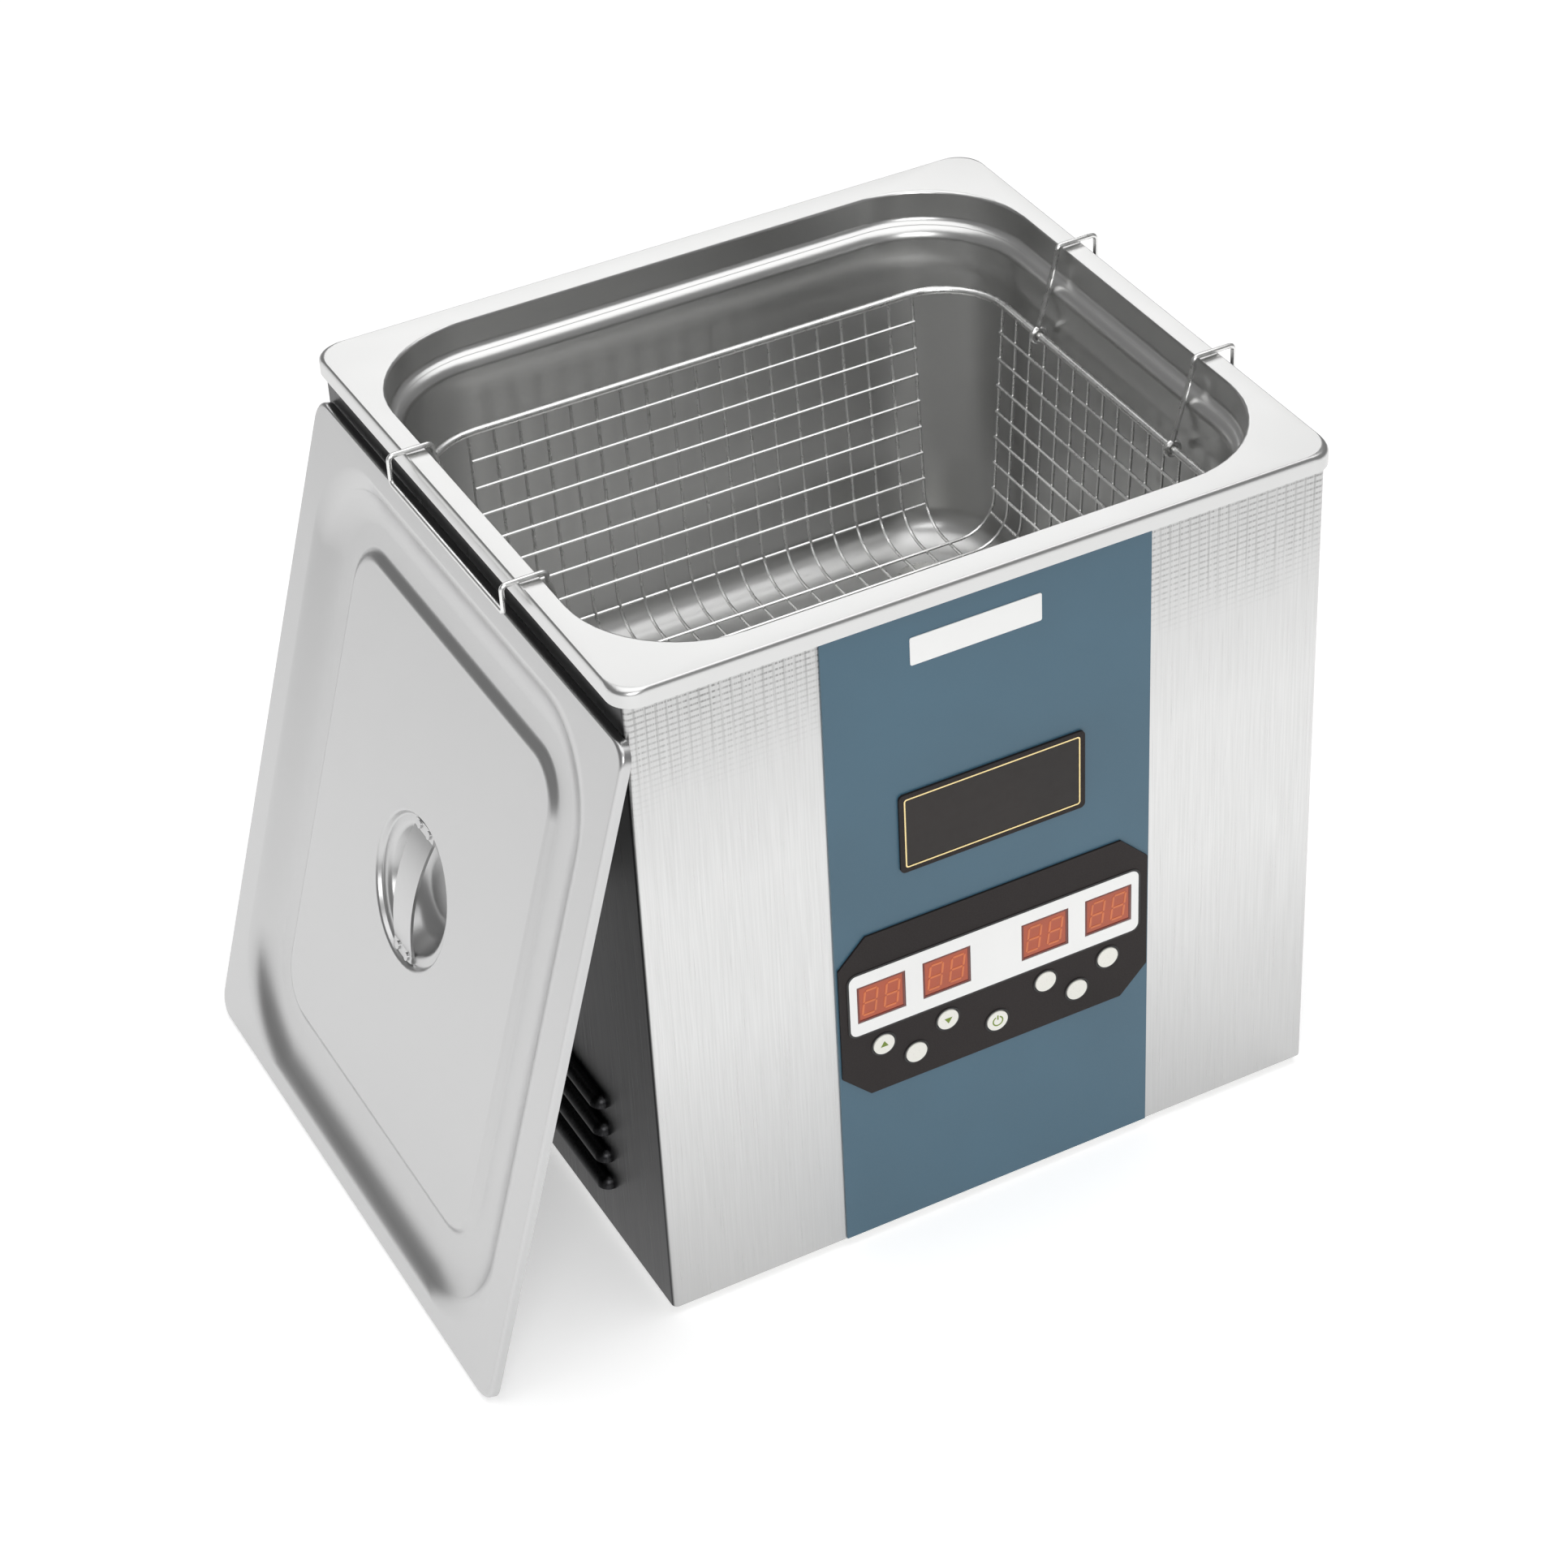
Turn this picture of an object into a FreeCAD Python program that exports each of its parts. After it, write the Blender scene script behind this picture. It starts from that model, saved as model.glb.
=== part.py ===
import FreeCAD, Part
import math
import os

# Heated ultrasonic bath: pressed steel tank in a sheet steel housing, with a hanging wire basket and the lid
# leaning against the left side. Millimetres, +Z up, front towards -Y. Everything is built about the housing's
# centre line with the floor at z = 0, then moved so that the origin is the bottom centre of the whole set.

# ---- housing ----
body_w = 350.0            # outside, left to right
body_d = 320.0            # outside, front to back
body_h = 348.0            # underside to the lower edge of the rim
body_corner_r = 3.0
sheet_t = 1.2
rear_flange = 12.0        # flange bent in at each rear corner
foot_h = 5.0
foot_r = 12.0
foot_inset = 34.0         # foot axis from the housing's side and front
foot_seat = 3.0           # floor to the seat of the foot's screw
base_lip_h = 12.0

# ---- tank ----
rim_overhang = 4.0
rim_drop = 9.0            # height of the turned-down lip
rim_roll_r = 3.2
rim_corner_ease = 5.0     # extra corner radius of the lip over the housing's corner
rim_land_x = 11.0         # flat rim beside the opening, left and right
rim_land_y = 15.5         # flat rim beside the opening, front and back
opening_r = 60.0
tank_t = 1.5
upper_band_h = 18.0       # rim to shoulder
shoulder_w = 7.0
shoulder_r = 5.0
compartment_h = 157.0     # underside of the housing to the inside of the tank's floor
tank_floor_r = 20.0

# ---- front ----
panel_w = 166.0
panel_t = 1.0
panel_gap = 1.0           # panel to the lower edge of the lip and to the housing's underside
overlay_w = 164.0
overlay_h = 93.5
overlay_cut = 14.5        # chamfer of the eight-sided overlay
overlay_t = 1.0
overlay_up = 86.5         # overlay's lower edge above the housing's underside
strip_w = 154.0
strip_h = 35.4
strip_r = 4.0
strip_t = 0.4
strip_drop = 20.4         # overlay's top edge to the strip's top edge
led_w = 25.0
led_h = 21.0
led_depth = 9.8
led_x = (-60.5, -26.2, 26.2, 60.5)
led_fit = 0.15
lcd_w = 96.0
lcd_h = 43.2
lcd_up = 28.2             # above the overlay's top edge
lcd_border = 2.5
lcd_line = 0.7
lcd_t = 1.2
lcd_r = 2.5
lcd_seat = 3.0            # ledge that the window rests on
plate_w = 66.0
plate_h = 14.5
plate_drop = 14.5         # lower edge of the lip to the plate's top
plate_t = 0.4
plate_x = -6.5            # plate's centre
key_r = 5.5
key_gap = 0.3
key_proud = 0.9
key_travel = 0.6
key_flange = 1.0
key_rows = (14.8, 27.2)   # overlay's bottom edge up to the lower and upper rows
key_layout = (
    ("button_up", -60.2, 1),
    ("button_set", -43.3, 0),
    ("button_down", -26.3, 1),
    ("button_power", 0.0, 0),
    ("button_heat", 26.3, 1),
    ("button_mode", 43.3, 0),
    ("button_pulse", 60.2, 1),
)

# ---- boards behind the front ----
board_t = 1.6
board_back = 8.4          # front face of the control board behind the housing's front
switch_w = 6.0
switch_h = 3.5
switch_gap = 0.2

# ---- basket and bails ----
hang = 44.0               # rim top to the basket's rim wire
basket_gap_x = 5.0        # basket to the tank wall, left and right
basket_gap_y = 11.5       # basket to the tank wall, front and back, when centred
basket_shift_y = -6.0     # the basket hangs a little to the front
basket_floor_gap = 26.0   # basket floor above the tank's floor
basket_r = 36.0
rim_wire = 4.0
mesh_wire = 1.5
column_pitch = 13.3
row_pitch = 14.2
wall_taper = 8.0          # walls lean in by this much at the bottom
wall_border_x = 34.0      # basket's side to the border of the front and rear walls
wall_border_y = 35.0      # basket's front to the border of the side walls
bail_wire = 2.5
bail_reach = 62.0         # ring to the basket's middle; moved to the nearest gap between two bars
bail_clear = 0.5
bail_outside = 7.5        # centre of the outer bar outside the lip
bail_drop = 12.5          # rim top to the outer bar
bail_bend = 2.5           # centreline radius of the bends
ring_gap = 0.35           # play between a bail's ring and the rim wire

# ---- lid ----
lid_margin_x = 4.0        # lid's edge inside the rim's edge, along its length
lid_margin_y = -0.8       # a little wider than the rim from front to back
lid_shift_y = -4.6        # the lid leans a little to the front of the housing's middle
lid_corner_r = 9.0
lid_t = 1.0
lid_lip_h = 5.0
lid_recess_gap = 5.0      # recess to the tank's opening when the lid is on
lid_recess_depth = 8.0
lid_slope_w = 12.0
lid_panel_inset = 20.0    # recess floor's edge to the raised panel
lid_panel_up = 3.0
lid_panel_r = 26.0
lid_panel_step = 4.0
lid_lean = 15.9           # degrees from upright
lid_below_rim = 16.0      # the leaning lid's top edge stays this far below the lip
lid_touch_gap = 0.3
dish_r = 38.0
dish_step = 3.0
bowl_r = 31.0
bowl_floor_r = 22.0
bowl_depth = 16.0
strap_w = 20.0
strap_t = 1.5
strap_rise = 4.5
strap_tab = 5.2
rivet_r = 1.5

# ---- underneath ----
horn_r = 29.0
horn_neck_r = 20.0
horn_h = 30.0
ceramic_r = 20.0
ceramic_bore = 7.0
ceramic_t = 5.0
mass_h = 20.0
horn_pitch_x = 92.0
horn_pitch_y = 84.0
horn_rows_y = -22.0       # centre of the transducer rows
drain_x = 112.0
drain_y = 100.0
drain_bore = 8.0
drain_wall = 2.0
drain_z = 50.0            # height of the drain outlet above the housing's underside
drain_bend = 18.0
valve_len = 38.0
valve_r = 13.0
ball_r = 9.5
ball_gap = 0.3
ball_bore = 5.5
stem_r = 3.0
stem_gap = 0.1
barb_len = 22.0
barb_r = 6.5
barb_bore = 4.5
lever_len = 56.0
lever_w = 12.0
lever_t = 2.0

# ---- rear ----
fan_size = 80.0
fan_depth = 25.0
fan_x = -80.0
fan_up = 58.0             # fan's axis above the housing's underside
fan_bore = 38.0
hub_r = 15.0
blade_tip_gap = 1.0
blade_count = 7
guard_wire = 2.0
service_up = 56.0         # height of inlet, fuse and rocker above the underside
inlet_x = 60.0
fuse_x = 100.0
rocker_x = 20.0
rocker_w = 18.0
rocker_h = 27.0
rocker_tilt = 7.0

# ---- worked-out sizes ----
z_base = foot_h
z_lip = foot_h + body_h
z_top = z_lip + rim_drop
rim_w = body_w + 2 * rim_overhang
rim_d = body_d + 2 * rim_overhang
rim_r = body_corner_r + rim_overhang + rim_corner_ease
open_w = rim_w - 2 * rim_land_x
open_d = rim_d - 2 * rim_land_y
z_shoulder = z_top - upper_band_h
bowl_w = open_w - 2 * shoulder_w
bowl_d = open_d - 2 * shoulder_w
bowl_corner_r = opening_r - shoulder_w
z_floor = z_base + compartment_h
y_front = -body_d / 2
y_rear = body_d / 2
y_blue = y_front - panel_t
y_overlay = y_blue - overlay_t
y_strip = y_overlay - strip_t
y_led = y_overlay - strip_t / 2
z_overlay = z_base + overlay_up
z_strip = z_overlay + overlay_h - strip_drop - strip_h
z_led = z_strip + strip_h / 2
z_lcd = z_overlay + overlay_h + lcd_up + lcd_h / 2
y_board = y_front + board_back
z_basket = z_top - hang
basket_w = bowl_w - 2 * basket_gap_x
basket_d = bowl_d - 2 * basket_gap_y
z_mesh = z_floor + basket_floor_gap
z_drain = z_base + drain_z
x_side = body_w / 2


def vec(x, y, z):
    return FreeCAD.Vector(x, y, z)


X_AXIS = vec(1, 0, 0)
Y_AXIS = vec(0, 1, 0)
Z_AXIS = vec(0, 0, 1)


def block(x0, x1, y0, y1, z0, z1):
    return Part.makeBox(x1 - x0, y1 - y0, z1 - z0, vec(x0, y0, z0))


def slab(cx, cz, w, h, y0, y1):
    """Upright plate on the front or rear, w by h about (cx, cz), from y0 to y1."""
    return block(cx - w / 2, cx + w / 2, y0, y1, cz - h / 2, cz + h / 2)


def rod(r, length, base, axis):
    return Part.makeCylinder(r, length, base, axis)


def tube(r_out, r_in, length, base, axis):
    return rod(r_out, length, base, axis).cut(rod(r_in, length, base, axis))


def round_rect(w, d, r, z, cx=0.0, cy=0.0):
    """Closed wire: a w by d rectangle with corner arcs of radius r, at height z."""
    hx = w / 2 - r
    hy = d / 2 - r
    edges = []
    corners = ((hx, hy, 0), (-hx, hy, 90), (-hx, -hy, 180), (hx, -hy, 270))
    previous = None
    first = None
    for px, py, start in corners:
        points = []
        for turn in (0, 45, 90):
            a = math.radians(start + turn)
            points.append(vec(cx + px + r * math.cos(a), cy + py + r * math.sin(a), z))
        if previous is None:
            first = points[0]
        else:
            edges.append(Part.LineSegment(previous, points[0]).toShape())
        edges.append(Part.Arc(points[0], points[1], points[2]).toShape())
        previous = points[2]
    edges.append(Part.LineSegment(previous, first).toShape())
    return Part.Wire(edges)


def prism(w, d, r, z0, z1, cx=0.0, cy=0.0):
    return Part.Face(round_rect(w, d, r, z0, cx, cy)).extrude(vec(0, 0, z1 - z0))


def frustum(w0, d0, r0, z0, w1, d1, r1, z1, cx=0.0, cy=0.0):
    wires = [round_rect(w0, d0, r0, z0, cx, cy), round_rect(w1, d1, r1, z1, cx, cy)]
    return Part.makeLoft(wires, True, True)


def upright(shape, y):
    """Turn a shape drawn flat (x, y up the page) into an upright one whose drawn z=0 plane is at depth y."""
    shape.rotate(vec(0, 0, 0), X_AXIS, 90)
    shape.translate(vec(0, y, 0))
    return shape


def front_plate(cx, cz, w, h, r, y_back, t):
    """Round-cornered plate on the front, t thick, with its back face at y_back."""
    return upright(prism(w, h, r, 0, t, cx, cz), y_back)


def fillet_at(shape, r, z, inside=None):
    """Round the edges lying at height z, all of them or only those within the half-sizes given."""
    picked = []
    for edge in shape.Edges:
        bb = edge.BoundBox
        if abs(bb.ZMin - z) > 1e-4 or abs(bb.ZMax - z) > 1e-4:
            continue
        if inside and (max(abs(bb.XMin), abs(bb.XMax)) > inside[0] or max(abs(bb.YMin), abs(bb.YMax)) > inside[1]):
            continue
        picked.append(edge)
    return shape.makeFillet(r, picked)


def group(shapes):
    return Part.makeCompound(shapes)


def wire_path(points, r):
    """Straight runs through the points, joined by tangent arcs of radius r."""
    edges = []
    start = points[0]
    for before, corner, after in zip(points, points[1:], points[2:]):
        back = (before - corner).normalize()
        ahead = (after - corner).normalize()
        half = back.getAngle(ahead) / 2
        reach = r / math.tan(half)
        enter = corner + back * reach
        leave = corner + ahead * reach
        centre = corner + (back + ahead).normalize() * (r / math.sin(half))
        middle = centre + (corner - centre).normalize() * r
        if (enter - start).Length > 1e-4:
            edges.append(Part.LineSegment(start, enter).toShape())
        edges.append(Part.Arc(enter, middle, leave).toShape())
        start = leave
    edges.append(Part.LineSegment(start, points[-1]).toShape())
    return Part.Wire(edges)


def swept(points, r, bend):
    """Round bar or bore of radius r along the points."""
    path = wire_path(points, bend)
    start = points[0]
    circle = Part.Circle(start, points[1] - start, r)
    return path.makePipeShell([Part.Wire([circle.toShape()])], True, False)


def screws(places, axis, head_r, head_h, shank_r, shank_len):
    """Pan-head screws: each place is the seat under the head; axis points from the seat to the head."""
    made = []
    for seat in places:
        head = rod(head_r, head_h, seat, axis)
        head = head.cut(rod(head_r * 0.45, head_h * 0.5, seat + axis * (head_h * 0.5), axis))
        made.append(head.fuse(rod(shank_r, shank_len, seat - axis * shank_len, axis)))
    return group(made)


# ---- housing ----
louvre_len = 70.0
louvre_r = 6.0
louvre_pitch = 17.0
louvre_count = 4
louvre_y = -66.0          # centre of the louvres, towards the front
louvre_up = 29.0          # lowest louvre's lower edge above the housing's underside


def louvre_places():
    return [z_base + louvre_up + i * louvre_pitch for i in range(louvre_count)]


def louvre_capsule(r, side, z):
    half = louvre_len / 2 - louvre_r
    x = side * x_side
    shape = rod(r, 2 * half, vec(x, louvre_y - half, z), Y_AXIS)
    shape = shape.fuse(Part.makeSphere(r, vec(x, louvre_y - half, z)))
    return shape.fuse(Part.makeSphere(r, vec(x, louvre_y + half, z)))


def louvre_hood(side, z):
    """Quarter-round pressed hood that stands out of a side wall and is open below."""
    hood = louvre_capsule(louvre_r, side, z).cut(louvre_capsule(louvre_r - sheet_t, side, z))
    out = 2 * louvre_r
    wall = side * (x_side - sheet_t / 2)
    keep = block(min(wall, wall + side * out), max(wall, wall + side * out),
                 louvre_y - louvre_len, louvre_y + louvre_len, z, z + out)
    return hood.common(keep)


def louvre_slot(side, z):
    r = louvre_r - sheet_t
    keep = block(-2 * x_side, 2 * x_side, louvre_y - louvre_len, louvre_y + louvre_len, z, z + 2 * r)
    return louvre_capsule(r, side, z).common(keep)


def front_openings(y0, y1, lcd_ledge, key_r_hole):
    """Everything that passes through the front: the LCD, four displays and seven keys."""
    cuts = [slab(0, z_lcd, lcd_w - 2 * lcd_ledge, lcd_h - 2 * lcd_ledge, y0, y1)]
    for x in led_x:
        cuts.append(slab(x, z_led, led_w + 2 * led_fit, led_h + 2 * led_fit, y0, y1))
    for _, x, row in key_layout:
        cuts.append(rod(key_r_hole, y1 - y0, vec(x, y0, z_overlay + key_rows[row]), Y_AXIS))
    return cuts


def housing_wrap():
    z1 = z_top - tank_t
    shell = prism(body_w, body_d, body_corner_r, z_base, z1)
    shell = shell.cut(prism(body_w - 2 * sheet_t, body_d - 2 * sheet_t, body_corner_r - sheet_t, z_base, z1))
    window = body_w / 2 - rear_flange
    under_roll = prism(rim_w - 2 * rim_roll_r, rim_d - 2 * rim_roll_r, rim_r - rim_roll_r, z_top - rim_roll_r, z1)
    shell = shell.cut(prism(rim_w, rim_d, rim_r, z_top - rim_roll_r, z1).cut(under_roll))
    cuts = [block(-window, window, y_rear - 2 * sheet_t, y_rear + 1, z_base, z1)]
    cuts += front_openings(y_front - 1, y_front + 2 * sheet_t, lcd_border + lcd_seat, key_r + key_gap)
    cuts.append(rod(drain_bore + drain_wall + 0.3, 20, vec(x_side - 10, drain_y, z_drain), X_AXIS))
    for seat in rear_screw_places():
        cuts.append(rod(1.8, 4 * sheet_t, vec(seat.x, y_rear - 3 * sheet_t, seat.z), Y_AXIS))
    hoods = []
    for side in (-1, 1):
        for z in louvre_places():
            cuts.append(louvre_slot(side, z))
            hoods.append(louvre_hood(side, z))
    return shell.cut(cuts).fuse(hoods).removeSplitter()


def rear_screw_places():
    x = body_w / 2 - rear_flange / 2
    zs = (z_base + 30, (z_base + z_lip) / 2, z_lip - 30)
    return [vec(s * x, y_rear + sheet_t, z) for s in (-1, 1) for z in zs]


def rear_panel():
    top = z_lip - 4
    bottom = z_base + 4
    panel = block(-body_w / 2 + 4, body_w / 2 - 4, y_rear, y_rear + sheet_t, bottom, top)
    y0 = y_rear - 1
    y1 = y_rear + 2 * sheet_t
    service_z = z_base + service_up
    cuts = [rod(fan_bore, y1 - y0, vec(fan_x, y0, z_base + fan_up), Y_AXIS)]
    cuts.append(slab(inlet_x, service_z, 28.6, 20.6, y0, y1))
    cuts.append(rod(6.2, y1 - y0, vec(fuse_x, y0, service_z), Y_AXIS))
    cuts.append(slab(rocker_x, service_z, rocker_w + 3.2, rocker_h + 2.2, y0, y1))
    for seat in rear_screw_places():
        cuts.append(rod(1.7, y1 - y0, vec(seat.x, y0, seat.z), Y_AXIS))
    for dx, dz in fan_corners():
        cuts.append(rod(2.2, y1 - y0, vec(fan_x + dx, y0, z_base + fan_up + dz), Y_AXIS))
    for i in range(9):
        cuts.append(slab(inlet_x, z_base + 130 + 9 * i, 90, 4, y0, y1))
    return panel.cut(cuts)


def base_plate():
    w = body_w - 2 * sheet_t
    d = body_d - 2 * sheet_t
    r = body_corner_r - sheet_t
    tray = prism(w, d, r, z_base, z_base + base_lip_h)
    inner = prism(w - 2 * sheet_t, d - 2 * sheet_t, r - sheet_t, z_base + sheet_t, z_base + base_lip_h)
    cuts = [rod(2.2, 4 * sheet_t, vec(x, y, z_base - sheet_t), Z_AXIS) for x, y in foot_places()]
    for i in range(10):
        x = -100 + i * 22
        cuts.append(prism(6, 60, 2.9, z_base - 1, z_base + 3, x, -90))
    return tray.cut(inner).cut(cuts)


def foot_places():
    x = body_w / 2 - foot_inset
    y = body_d / 2 - foot_inset
    return [(sx * x, sy * y) for sx in (-1, 1) for sy in (-1, 1)]


def feet():
    made = []
    for x, y in foot_places():
        foot = Part.makeCone(foot_r - 1.5, foot_r, foot_h, vec(x, y, 0), Z_AXIS)
        made.append(foot.cut([rod(4.5, foot_seat, vec(x, y, 0), Z_AXIS), rod(2.2, foot_h, vec(x, y, 0), Z_AXIS)]))
    return group(made)


def foot_screws():
    made = []
    for x, y in foot_places():
        head = rod(4.2, foot_seat - 0.5, vec(x, y, 0.5), Z_AXIS)
        shank = rod(2.0, z_base + sheet_t + 4 - foot_seat, vec(x, y, foot_seat), Z_AXIS)
        nut = rod(3.8, 3, vec(x, y, z_base + sheet_t), Z_AXIS)
        made.append(head.fuse([shank, nut]))
    return group(made)


# ---- tank ----
def tank_volume(grow):
    """The tank's cavity, or its outside when grown by the wall's thickness."""
    top = z_top - grow
    shoulder = z_shoulder - grow
    upper = prism(open_w + 2 * grow, open_d + 2 * grow, opening_r + grow, shoulder, top)
    lower = prism(bowl_w + 2 * grow, bowl_d + 2 * grow, bowl_corner_r + grow, z_floor - grow, shoulder)
    both = upper.fuse(lower).removeSplitter()
    inner = (bowl_w / 2 + grow + 0.1, bowl_d / 2 + grow + 0.1)
    both = fillet_at(both, shoulder_r - grow, shoulder, inner)
    return fillet_at(both, tank_floor_r + grow, z_floor - grow)


def tank():
    lip = fillet_at(prism(rim_w, rim_d, rim_r, z_lip, z_top), rim_roll_r, z_top)
    under = prism(rim_w - 2 * tank_t, rim_d - 2 * tank_t, rim_r - tank_t, z_lip, z_top - tank_t)
    under = fillet_at(under, rim_roll_r - tank_t, z_top - tank_t)
    cavity = tank_volume(0)
    shell = lip.cut(under).fuse(tank_volume(tank_t)).cut(cavity)
    shell = shell.cut(rod(drain_bore + drain_wall, 10, vec(drain_x, drain_y, z_floor - 5), Z_AXIS))
    return fillet_at(shell.removeSplitter(), 1.2, z_top, (open_w / 2 + 0.1, open_d / 2 + 0.1))


# ---- front ----
def front_panel():
    z0 = z_base + panel_gap / 2
    z1 = z_lip - panel_gap
    panel = block(-panel_w / 2, panel_w / 2, y_blue, y_front, z0, z1)
    return panel.cut(front_openings(y_blue - 1, y_front + 1, lcd_border + lcd_seat, key_r + key_gap))


def name_plate():
    z = z_lip - plate_drop - plate_h / 2
    return front_plate(plate_x, z, plate_w, plate_h, 1.0, y_blue, plate_t)


def lcd_bezel():
    outer = front_plate(0, z_lcd, lcd_w, lcd_h, lcd_r, y_blue, lcd_t)
    inner = front_plate(0, z_lcd, lcd_w - 2 * lcd_border, lcd_h - 2 * lcd_border, 1.5, y_blue, lcd_t)
    return outer.cut(inner)


def lcd_trim():
    w = lcd_w - 2 * lcd_border
    h = lcd_h - 2 * lcd_border
    outer = front_plate(0, z_lcd, w, h, 1.5, y_blue, lcd_t)
    return outer.cut(front_plate(0, z_lcd, w - 2 * lcd_line, h - 2 * lcd_line, 1.0, y_blue, lcd_t))


def lcd_window():
    inset = 2 * (lcd_border + lcd_line)
    return front_plate(0, z_lcd, lcd_w - inset, lcd_h - inset, 1.0, y_blue, lcd_t - 0.2)


def lcd_module():
    inset = 2 * (lcd_border + lcd_seat) + 1
    return slab(0, z_lcd, lcd_w - inset, lcd_h - inset, y_blue, y_front + 9)


def overlay_outline(z):
    hx = overlay_w / 2
    hy = overlay_h / 2
    c = overlay_cut
    corners = ((hx, hy - c), (hx - c, hy), (c - hx, hy), (-hx, hy - c), (-hx, c - hy), (c - hx, -hy),
               (hx - c, -hy), (hx, c - hy), (hx, hy - c))
    return Part.makePolygon([vec(x, y + z, 0) for x, y in corners])


def control_panel():
    flat = Part.Face(overlay_outline(z_overlay + overlay_h / 2)).extrude(vec(0, 0, overlay_t))
    panel = upright(flat, y_blue)
    cuts = front_openings(y_overlay - 1, y_blue + 1, lcd_border, key_r + key_gap)
    return panel.cut(cuts[1:])


def display_strip():
    strip = front_plate(0, z_led, strip_w, strip_h, strip_r, y_overlay, strip_t)
    cuts = [slab(x, z_led, led_w + 2 * led_fit, led_h + 2 * led_fit, y_strip - 1, y_overlay + 1) for x in led_x]
    return strip.cut(cuts)


def led_displays():
    return group([slab(x, z_led, led_w, led_h, y_led, y_board) for x in led_x])


def circuit_boards():
    """The control board behind the front and the generator board above the base plate."""
    front = slab(0, z_overlay + overlay_h / 2, overlay_w - 8, overlay_h - 6, y_board, y_board + board_t)
    front = front.cut([rod(1.6, 4, vec(x, y_board - 1, z), Y_AXIS) for x, z in spacer_places()])
    z0 = z_base + sheet_t + 8
    lower = block(-68, 68, -134, -46, z0, z0 + board_t)
    lower = lower.cut([rod(1.6, 4, vec(x, y, z0 - 1), Z_AXIS) for x, y in generator_corners()])
    return group([front, lower])


def spacer_places():
    x = overlay_w / 2 - 8
    return [(sx * x, z_overlay + dz) for sx in (-1, 1) for dz in (8, overlay_h - 8)]


def board_spacers():
    y0 = y_front + sheet_t
    made = [tube(3.2, 1.6, y_board - y0, vec(x, y0, z), Y_AXIS) for x, z in spacer_places()]
    for x, y in generator_corners():
        made.append(tube(3.2, 1.6, 8, vec(x, y, z_base + sheet_t), Z_AXIS))
    return group(made)


def tact_switches():
    made = []
    for _, x, row in key_layout:
        z = z_overlay + key_rows[row]
        made.append(slab(x, z, switch_w, switch_w, y_board - switch_h, y_board))
    return group(made)


def button(x, row):
    """Round key: cap in the hole, flange behind the sheet, stem that ends just short of its switch."""
    z = z_overlay + key_rows[row]
    y_cap = y_overlay - key_proud
    y_flange = y_front + sheet_t + 0.2
    y_end = y_board - switch_h - switch_gap - key_travel
    cap = rod(key_r, y_flange - y_cap, vec(x, y_cap, z), Y_AXIS)
    cap = cap.makeFillet(0.4, [e for e in cap.Edges if e.BoundBox.YMax < y_cap + 0.01])
    flange = rod(key_r + 1.2, key_flange, vec(x, y_flange, z), Y_AXIS)
    return cap.fuse([flange, rod(1.8, y_end - y_flange, vec(x, y_flange, z), Y_AXIS)])


# ---- basket and bails ----
def basket_rim():
    """Closed ring of round wire."""
    w = basket_w - rim_wire
    d = basket_d - rim_wire
    path = round_rect(w, d, basket_r, z_basket, 0, basket_shift_y)
    start = path.Edges[0].valueAt(path.Edges[0].FirstParameter)
    tangent = path.Edges[0].tangentAt(path.Edges[0].FirstParameter)
    circle = Part.Wire([Part.Circle(start, tangent, rim_wire / 2).toShape()])
    return path.makePipeShell([circle], True, False)


def grille_step(length, pitch):
    """Even spacing of the bars, centre to centre, nearest to the pitch asked for."""
    return (length - mesh_wire) / max(1, round(length / pitch))


def grille(length, height, across, up, open_top):
    """Flat welded grille in the XY plane from (0, 0): bars of square section at the two pitches."""
    sx = grille_step(length, across)
    sy = grille_step(height, up)
    nx = round((length - mesh_wire) / sx)
    ny = round((height - mesh_wire) / sy)
    corners = (vec(0, 0, 0), vec(length, 0, 0), vec(length, height, 0), vec(0, height, 0), vec(0, 0, 0))
    loops = [Part.makePolygon(corners)]
    tops = []
    for i in range(nx):
        x0 = mesh_wire + i * sx
        x1 = x0 + sx - mesh_wire
        for j in range(ny):
            y0 = mesh_wire + j * sy
            y1 = y0 + sy - mesh_wire
            if open_top and j == ny - 1:
                tops.append(block(x0, x1, y0, height + 1, -1, mesh_wire + 1))
            else:
                loop = (vec(x0, y0, 0), vec(x1, y0, 0), vec(x1, y1, 0), vec(x0, y1, 0), vec(x0, y0, 0))
                loops.append(Part.makePolygon(loop))
    plate = Part.makeFace(loops, "Part::FaceMakerBullseye").extrude(vec(0, 0, mesh_wire))
    if tops:
        plate = plate.cut(tops)
    return plate


wall_z1 = z_basket - rim_wire / 2
wall_lean = math.degrees(math.atan2(wall_taper, wall_z1 - z_mesh))
long_wall = basket_w - 2 * wall_border_x
short_wall = basket_d - 2 * wall_border_y


def basket_wall(length, half_depth, turn):
    """Grille wall under the rim wire, leaning in at the bottom; turn is its heading about Z."""
    height = (wall_z1 - z_mesh) / math.cos(math.radians(wall_lean)) - 0.05
    wall = grille(length, height, column_pitch, row_pitch, True)
    wall.translate(vec(-length / 2, -height, -mesh_wire / 2))
    wall.rotate(vec(0, 0, 0), X_AXIS, 90 + wall_lean)
    wall.translate(vec(0, -half_depth, wall_z1))
    wall.rotate(vec(0, 0, 0), Z_AXIS, turn)
    wall.translate(vec(0, basket_shift_y, 0))
    return wall


def basket_long_walls():
    half = basket_d / 2 - rim_wire / 2
    return group([basket_wall(long_wall, half, 0), basket_wall(long_wall, half, 180)])


def basket_short_walls():
    half = basket_w / 2 - rim_wire / 2
    return group([basket_wall(short_wall, half, 90), basket_wall(short_wall, half, -90)])


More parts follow.
